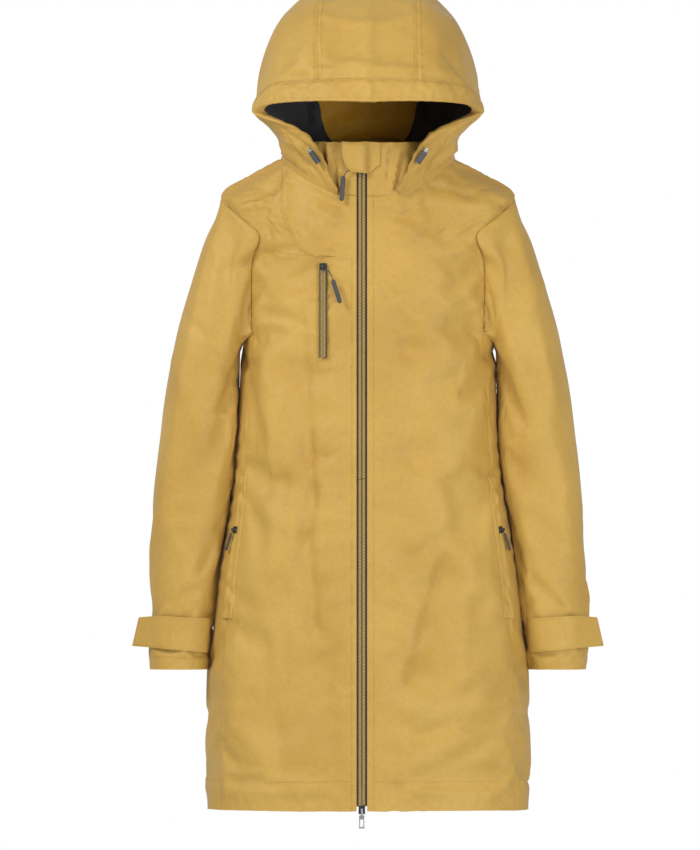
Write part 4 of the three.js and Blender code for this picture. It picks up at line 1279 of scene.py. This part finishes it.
def chin_guard():
    fold, left, right = GUARD["fold"], GUARD["left"], GUARD["right"]
    fine = (0, 0.8, 1.8, 3)
    s, t = spaced(34, 1.6, fine)[:, None], spaced(46, 1.6, fine)[None, :]
    x = lerp(left, fold, s) + 0 * t
    top = GUARD["top"] - 1.2 * np.sin(s * 3.1)
    z = lerp(guard_low(x), top, t)
    edge = np.minimum(np.minimum(s, 1.0), np.minimum(t, 1 - t) * 1.3)
    puff = 1.4 * smooth(edge, 0, 0.2) + 0.5 * noise(x / 9, z / 11, seed=91)
    y = GUARD["out"] - puff + 2.4 * smooth(x, fold - 5, fold) - 0.9 * near(x, left, 4)
    flap = on_zip(0, point(x, y, z))
    dip = seam_dip(flap, ("first", "low", "top"), 0.3, 0.3, seed=92)
    ride(sheet("chin_guard_cloth", flap, thick=1.6, outer=dip), "chin_guard", "chin_guard")
    share = spaced(32, 1.5, (0, 0.6, 1.4, 2.6))[:, None]
    turn = smooth(share, 0, 0.3)
    x = fold + 0.3 + (right - fold - 0.3) * share
    y = lerp(GUARD["out"] + 2.6, GUARD["base"], turn) + 0.5 * noise(x / 8, z[:1] / 9, seed=93)
    low = lerp(GUARD["low"], -1, smooth(share, 0.1, 1))
    z = lerp(low, GUARD["top"] - share, t)
    base = on_zip(0, point(x + 0 * z, y + 0 * z, z))
    ride(sheet("chin_guard_base_cloth", base, thick=1.4), "body", "chin_guard_base")
    rows = [line_grid(flap, 1, 2.2), line_grid(flap, 0, 2.2), line_grid(flap, 1, -2.4)]
    ride(stitches("chin_guard_stitches", rows), "chin_guard")


def line_grid(points, axis, off):
    """A line along a grid of points, off millimetres in from its first edge, or from its last if negative."""
    step = lengths(points, axis)
    total = np.take(step, [-1], axis=axis)
    want = np.broadcast_to(off if off > 0 else total + off, total.shape)
    grid, run = np.moveaxis(points, axis, 0), np.moveaxis(step, axis, 0)
    want = np.moveaxis(want, axis, 0)[0]
    normal = np.moveaxis(normals_of(points), axis, 0)
    at, out = [], []
    for k in range(grid.shape[1]):
        at.append([np.interp(want[k], run[:, k], grid[:, k, c]) for c in range(3)])
        out.append([np.interp(want[k], run[:, k], normal[:, k, c]) for c in range(3)])
    return np.array(at), np.array(out)


chin_guard()


# ---------------------------------------------------------------- cuff tabs
SHARE_PER_MM = 1 / 760
WRAPPED = 0.66  # the share of a tab that lies round the sleeve; the rest stands out straight
TAB_BEND = 0.09  # the share of a tab from its root at which cuffs works out a point that it does not use


def tab_point(side, s, t):
    psi = lerp(TAB["from"], TAB["leaves"], np.minimum(s / WRAPPED, 1))
    half = lerp(TAB["root_half"], TAB["tip_half"], s)
    level = TAB["level"] - lerp(-half, half, t) * SHARE_PER_MM
    psi, level = np.broadcast_arrays(psi, level)
    base = sleeve_point(psi, level)
    tangent = sleeve_point(psi + 0.02, level) - sleeve_point(psi - 0.02, level)
    tangent = unit(tangent * [1, 1, 0])
    share = np.maximum(s - WRAPPED, 0) / (1 - WRAPPED)
    beyond = share * (TAB["reach"] + lerp(7, -7, t))
    out = point(tangent[..., 1], -tangent[..., 0], 0 * tangent[..., 0])
    x, z = base[..., 0], base[..., 2]
    lift = TAB["lift"] + 0.5 * noise(x / 18, z / 14, seed=95 + side) - 2.2 * (1 - smooth(s, 0, 0.07))
    at = base + out * lift[..., None] + tangent * beyond[..., None]
    at[..., 0] *= side
    return at


def cuffs():
    for side, hand in NAME.items():
        cloth, tab = f"sleeve_{hand}", f"cuff_tab_{hand}"
        points = tab_point(side, spaced(150, 3.0)[:, None], spaced(52, 3.0)[None, :])
        dip = seam_dip(points, ("last", "low", "top"), 0.25, 0.3, seed=96)
        root = tab_point(side, np.array([[0.0, TAB_BEND]]), np.array([[0.5]]))[0] * MM - [0, LOOP_Y * MM, 0]
        made = sheet(f"cuff_tab_cloth_{hand}", points, thick=1.8, outer=dip, flip=side < 0)
        standing_for(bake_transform(made), [tab])
        rows = [line_grid(points, axis, off) for axis, off in ((1, 2.6), (1, -2.6), (0, -2.6), (0, 66.0))]
        if side < 0:
            rows = [(at, -out) for at, out in rows]
        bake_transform(stitches(f"cuff_tab_stitches_{hand}", rows))
    for side, hand in NAME.items():
        points = tab_point(side, np.linspace(0.24, 0.52, 14)[:, None], np.linspace(0.2, 0.8, 8)[None, :])
        patch = sheet(f"cuff_patch_tape_{hand}", points, "hook_tape", 1.2, -2.4, flip=side < 0)
        ride(patch, f"sleeve_{hand}", f"cuff_patch_{hand}")


cuffs()


# ---------------------------------------------------------------- zips
def boxes(centres, halves, axes):
    """Small blocks with chamfered fronts: one per centre, with half sizes along the three axes."""
    corners = np.array([[x, y, z] for x in (-1, 1) for y in (-1, 1) for z in (-1, 1)], float)
    taper = np.where(corners[:, 1:2] < 0, 0.62, 1.0)
    shape = corners * halves * np.concatenate([taper, np.ones_like(taper), taper], 1)
    vertices = (np.asarray(centres)[:, None] + (shape @ axes)[None]).reshape(-1, 3)
    quads = np.array([[0, 1, 3, 2], [4, 6, 7, 5], [0, 4, 5, 1], [2, 3, 7, 6], [0, 2, 6, 4], [1, 5, 7, 3]])
    faces = (quads[None] + 8 * np.arange(len(centres))[:, None, None]).reshape(-1, 4)
    return vertices, faces


NARROWEST = 10  # the widest that a tape may be and still count as too narrow for its cut size to be worked out


def tape_strip(name, place, x0, x1, z0, z1, y, material="tape", thick=0.9):
    """A woven tape from x0 to x1 and z0 to z1 in a zip's own frame, whose points place sets in the coat."""
    z = np.linspace(z0, z1, max(int((z1 - z0) / 6), 2))[None, :]
    points = place(point(np.linspace(x0, x1, 4)[:, None], y, z))
    return sheet(name, points, material, thick, held="stretched" if x1 - x0 > NARROWEST else None)


def teeth_row(name, place, x, side, z0, z1, y=-0.9, pitch=2.1, wide=2.15, high=1.0):
    """One side's teeth, which stand half a pitch from the other side's."""
    z = np.arange(z0 + 0.8 + (pitch / 2 if side > 0 else 0), z1 - 0.8, pitch)
    centres = place(point(x, y + high, z))
    origin = place(np.zeros(3))
    axes = np.array([place(np.eye(3)[k]) - origin for k in range(3)])
    vertices, faces = boxes(centres, [wide, high, pitch * 0.34], axes)
    return new_object(name, vertices, faces, "teeth")


ZIP_LAP = 3  # how far the upper tapes reach down behind the lower ones


def front_zip():
    halves = (
        ("lower", ZIP_BOTTOM, SKIRT_TOP_Z, 0, 0),
        ("upper", SKIRT_TOP_Z - ZIP_LAP, ZIP_TOP, 0.2, ZIP_LAP),
    )
    for side, hand in NAME.items():
        x0, x1 = (3.6, 13.8) if side > 0 else (-13.8, -3.6)
        inner = (0.3, 5.0) if side > 0 else (-5.0, -0.3)
        for part, low, high, behind, first in halves:
            length = (high - low) / math.cos(LEAN)
            place = lambda points, low=low: on_zip(low, points)
            tape = tape_strip(f"zip_tape_{part}_{hand}", place, x0, x1, 0, length, 2.2 + behind)
            bed = tape_strip(f"zip_bed_{part}_{hand}", place, *inner, 0, length, 0.7 + behind, "coil", 0.8)
            teeth = teeth_row(f"zip_teeth_{part}_{hand}", place, side * 2.7, side, first, length)
            for made in (tape, bed, teeth):
                nodes = [f"zip_{part}_{hand}"] if made is tape else []
                if part == "lower":
                    with_front(made, side, *nodes)
                else:
                    ride(made, "body", *nodes)


front_zip()


# ---------------------------------------------------------------- small hard parts, from their own solids
POCKET_AXES = [(0.5242, 0.8499, 0.0537), (-0.8407, 0.5266, -0.1267), (-0.1359, 0.0213, 0.9905)]
POCKET_AT = (176.3, -125.6, -445.47)  # the top of the left pocket's zip
POCKET_SINK = -2.5  # how far out from their solids the hand pockets' sliders and pulls lie
ZIP_COVER = 2.6  # how much further in their tapes lie, under the cloth


def softened(node, material, voxel, smooths, shift=(0, 0, 0)):
    """A copy of a small solid with its edges rounded off, moved by shift millimetres."""
    source = frame["nodes"][node]
    mesh = source.data.copy()
    trial = in_scene("softening", mesh)
    remesh = trial.modifiers.new("Remesh", "REMESH")
    remesh.mode, remesh.voxel_size = "VOXEL", voxel
    rounding = trial.modifiers.new("Smooth", "SMOOTH")
    rounding.iterations, rounding.factor = smooths, 0.5
    shown = trial.evaluated_get(bpy.context.evaluated_depsgraph_get())
    final = bpy.data.meshes.new_from_object(shown)
    bpy.data.objects.remove(trial)
    bpy.data.meshes.remove(mesh)
    final.materials.clear()
    final.transform(Matrix.Translation(Vector(shift) * MM))
    final.shade_smooth()
    ride(dressed(f"{node}_finish", final, material), source["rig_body"], node)


def small_parts():
    slider, pull = ("slider", 0.0003, 6), ("pull", 0.00035, 10)
    for node in ("zip_slider_top", "zip_slider_bottom", "chest_slider"):
        softened(node, *slider)
    for node in ("zip_pull_top", "chest_pull"):
        softened(node, *pull)
    for side, hand in NAME.items():
        outward = np.array(POCKET_AXES[1]) * POCKET_SINK * [side, 1, 1]
        softened(f"pocket_slider_{hand}", *slider, outward)
        softened(f"pocket_pull_{hand}", *pull, outward)
    softened("zip_pull_bottom", "metal", 0.0003, 5)
    for hand in NAME.values():
        softened(f"cord_lock_{hand}", "lock", 0.0004, 8)
        softened(f"cord_lock_button_{hand}", "metal", 0.0003, 6)
    softened("hanger_loop", "loop_tape", 0.0005, 4)


small_parts()


# ---------------------------------------------------------------- pocket zips and welts
def small_zip(name, place, size, material="tape"):
    width, length = size["width"], size["length"]
    tape = tape_strip(f"{name}_tape", place, -width / 2, width / 2, -length, 0, -0.3, material, 0.8)
    wide = width * 0.17
    rows = [
        teeth_row(f"{name}_teeth_{hand}", place, side * wide, side, -length, 0, -2.3, 1.7, wide * 1.05, 0.8)
        for side, hand in NAME.items()
    ]
    ride(tape, "body", name)
    for made in rows:
        ride(made, "body")


def frame_place(origin, axes):
    origin, axes = np.asarray(origin, float) + [0, LOOP_Y, 0], np.asarray(axes, float)
    return lambda points: np.asarray(points, float) @ axes + origin


CHEST_AXES = [(0.9916, -0.1295, 0.0064), (0.1296, 0.9903, -0.0492), (0, 0.0496, 0.9988)]
CHEST_PLACE = frame_place((CHEST_ZIP["x"], -170.86, CHEST_ZIP["top"]), CHEST_AXES)


def pocket_place(side):
    left = frame_place(POCKET_AT, POCKET_AXES)
    return lambda points: left(np.asarray(points, float) + [0, POCKET_SINK + ZIP_COVER, 0]) * [side, 1, 1]


def welt(side, hand):
    v = np.linspace(level_at(-656), level_at(-452), 60)[None, :]
    share = spaced(34, 1.6, (0, 0.8, 1.6))[:, None]
    reach = lerp(0.105, 0.065, (v - v[0, 0]) / (v[0, -1] - v[0, 0]))
    phi = lerp(SIDE_SEAM - reach, SIDE_SEAM + 0.036, share)
    points = torso(phi if side > 0 else math.pi - phi, v)
    height = 0.7 + 1.1 * smooth(share, 0.0, 0.1) + 1.3 * smooth(share, 0.5, 0.9) + 0 * v
    made = sheet(f"pocket_welt_cloth_{hand}", points, outer=height, thick=0.8, flip=side < 0)
    with_front(made, side, f"pocket_welt_{hand}")


def pockets():
    small_zip("chest_zip", CHEST_PLACE, CHEST_ZIP)
    for side, hand in NAME.items():
        small_zip(f"pocket_zip_{hand}", pocket_place(side), POCKET_ZIP, "shell")
        welt(side, hand)


pockets()


# ---------------------------------------------------------------- rows of stitching
def along_v(edge, low, high, inset, side):
    """A row that follows an edge of the body between two levels, inset millimetres to one side of it."""
    v = np.linspace(low, high, 320)
    return line_on(torso, edge(v) + side * inset / half_at(v), v, 0.15)


def stitch_rows():
    hem, foot, neck = level_at(-892), level_at(-137), NECK - 0.004
    for side, hand in NAME.items():
        edge = zip_edge(side)
        with_front(stitches(f"zip_edge_stitches_{hand}", [along_v(edge, 0.002, neck, 5.5, side)]), side)
        seam = SIDE_SEAM if side > 0 else math.pi - SIDE_SEAM
        phi = np.linspace(float(edge(np.array([hem]))[0]) + side * 0.03, seam, 200)
        with_front(stitches(f"front_hem_stitches_{hand}", [line_on(torso, phi, hem, 0.15)]), side)
    phi = np.linspace(SIDE_SEAM, math.pi - SIDE_SEAM, 600)
    ride(stitches("back_hem_stitches", [line_on(torso, phi, hem, 0.15)]), "body")
    yoke = [along_v(yoke_edge, foot, neck, inset, -1) for inset in (1.8, 7.0)]
    x, level = np.linspace(-68, -20, 80), np.full(80, foot + 0.0012)
    yoke.append(line_on(torso, math.pi - angle_at_x(-x, level), level, 0.15))
    ride(stitches("yoke_stitches", yoke), "body")

    def chest(*ends):
        at = CHEST_PLACE([(x, 1.6, z) for x, z in ends])
        return at, np.broadcast_to(CHEST_PLACE((0, -1, 0)) - CHEST_PLACE((0, 0, 0)), at.shape)

    half, low, end = 9.5, -CHEST_ZIP["length"] - 4, -CHEST_ZIP["length"] - 18
    ride(stitches("chest_zip_stitches", [
        chest((-half, -2), (-half, end)), chest((half, -22), (half, end)),
        chest((-half, low), (half, low)), chest((-half, end), (half, end)),
    ]), "body")


def hood_stitches():
    a = np.linspace(-0.985, 0.985, 700)
    rows = [line_on(hood, a, q, 0.35) for q in (0.012, BRIM_SHARE - 0.006, BRIM_SHARE + 0.006)]
    q = np.linspace(BRIM_SHARE + 0.01, 0.985, 360)
    for side in NAME:
        rows += [line_on(hood, side * (centre_share(q) + off), q, 0.2) for off in (-0.016, 0.016)]
    with_hood(stitches("hood_stitches", rows))
    top = lambda s, height: collar_patch(s, height, ZIP_EDGE)
    ride(stitches("collar_stitches", [line_on(top, np.linspace(0.01, 0.99, 260), 0.93, 0.1)]), "body")


def sleeve_stitches():
    for side, hand in NAME.items():
        row = line_on(sleeve(side), np.linspace(0, 2 * math.pi, 200), 0.9755, 0.2, flip=side > 0)
        with_sleeve(stitches(f"sleeve_hem_stitches_{hand}", [row]), side)


stitch_rows()
hood_stitches()
sleeve_stitches()


# ---------------------------------------------------------------- studio
# Place, power and size of each lamp, and the point that they face, in metres and watts.
LAMPS = (("key", (-2.1, -2.0, 1.7), 72, 0.9), ("fill", (1.8, -3.0, -0.3), 56, 1.3))
LAMPS_AIM = (0, 0, -0.35)
PICTURE_HEIGHT = 1.2325  # metres of the coat's front that the picture holds


def studio():
    world = bpy.data.worlds.new("studio")
    world.use_nodes = True
    tree = world.node_tree
    seen = tree.nodes["Background"]
    lit = tree.nodes.new("ShaderNodeBackground")
    for node, strength in ((seen, 1.0), (lit, 0.52)):
        node.inputs[0].default_value = (1, 1, 1, 1)
        node.inputs[1].default_value = strength
    mixed = tree.nodes.new("ShaderNodeMixShader")
    tree.links.new(tree.nodes.new("ShaderNodeLightPath").outputs["Is Camera Ray"], mixed.inputs[0])
    tree.links.new(lit.outputs[0], mixed.inputs[1])
    tree.links.new(seen.outputs[0], mixed.inputs[2])
    tree.links.new(mixed.outputs[0], tree.nodes["World Output"].inputs[0])
    bpy.context.scene.world = world
    bpy.context.scene.view_settings.view_transform = "Standard"
    floor = bpy.data.meshes.new("floor")
    half, low = 4.0, -1.42
    corners = [(-half, -half, low), (half, -half, low), (half, half, low), (-half, half, low)]
    floor.from_pydata(corners, [], [[0, 1, 2, 3]])
    nodes = Nodes("floor_paint")
    tone = nodes.mix(nodes.noise(place_of(nodes), 3.0), (0.84, 0.84, 0.84, 1), (0.88, 0.88, 0.88, 1))
    floor.materials.append(nodes.finished({"Base Color": tone}))
    in_scene("floor", floor)
    for name, place, power, size in LAMPS:
        light = bpy.data.lights.new(name, "AREA")
        light.energy, light.size = power, size
        lamp = in_scene(name, light)
        lamp.location = place
        lamp.rotation_mode = "QUATERNION"
        lamp.rotation_quaternion = (Vector(place) - Vector(LAMPS_AIM)).to_track_quat("Z", "Y")
    camera = bpy.data.cameras.new("camera")
    camera.lens, camera.sensor_width = 600, 36
    camera.clip_end = 60
    view = in_scene("camera", camera)
    view.location = (-0.0261, -0.13 - PICTURE_HEIGHT * camera.lens / camera.sensor_width, -0.377)
    view.rotation_euler = (math.pi / 2, 0, 0)
    bpy.context.scene.camera = view


studio()

for name, node in frame["nodes"].items():
    slot = next(p["material_slot"] for p in frame["record"]["subparts"] if p["node"] == name)
    finish = {"pull_rubber": "pull", "lock_plastic": "lock", "zip": "teeth"}.get(slot, slot)
    node.data.materials.clear()
    node.data.materials.append(MATERIALS[finish])
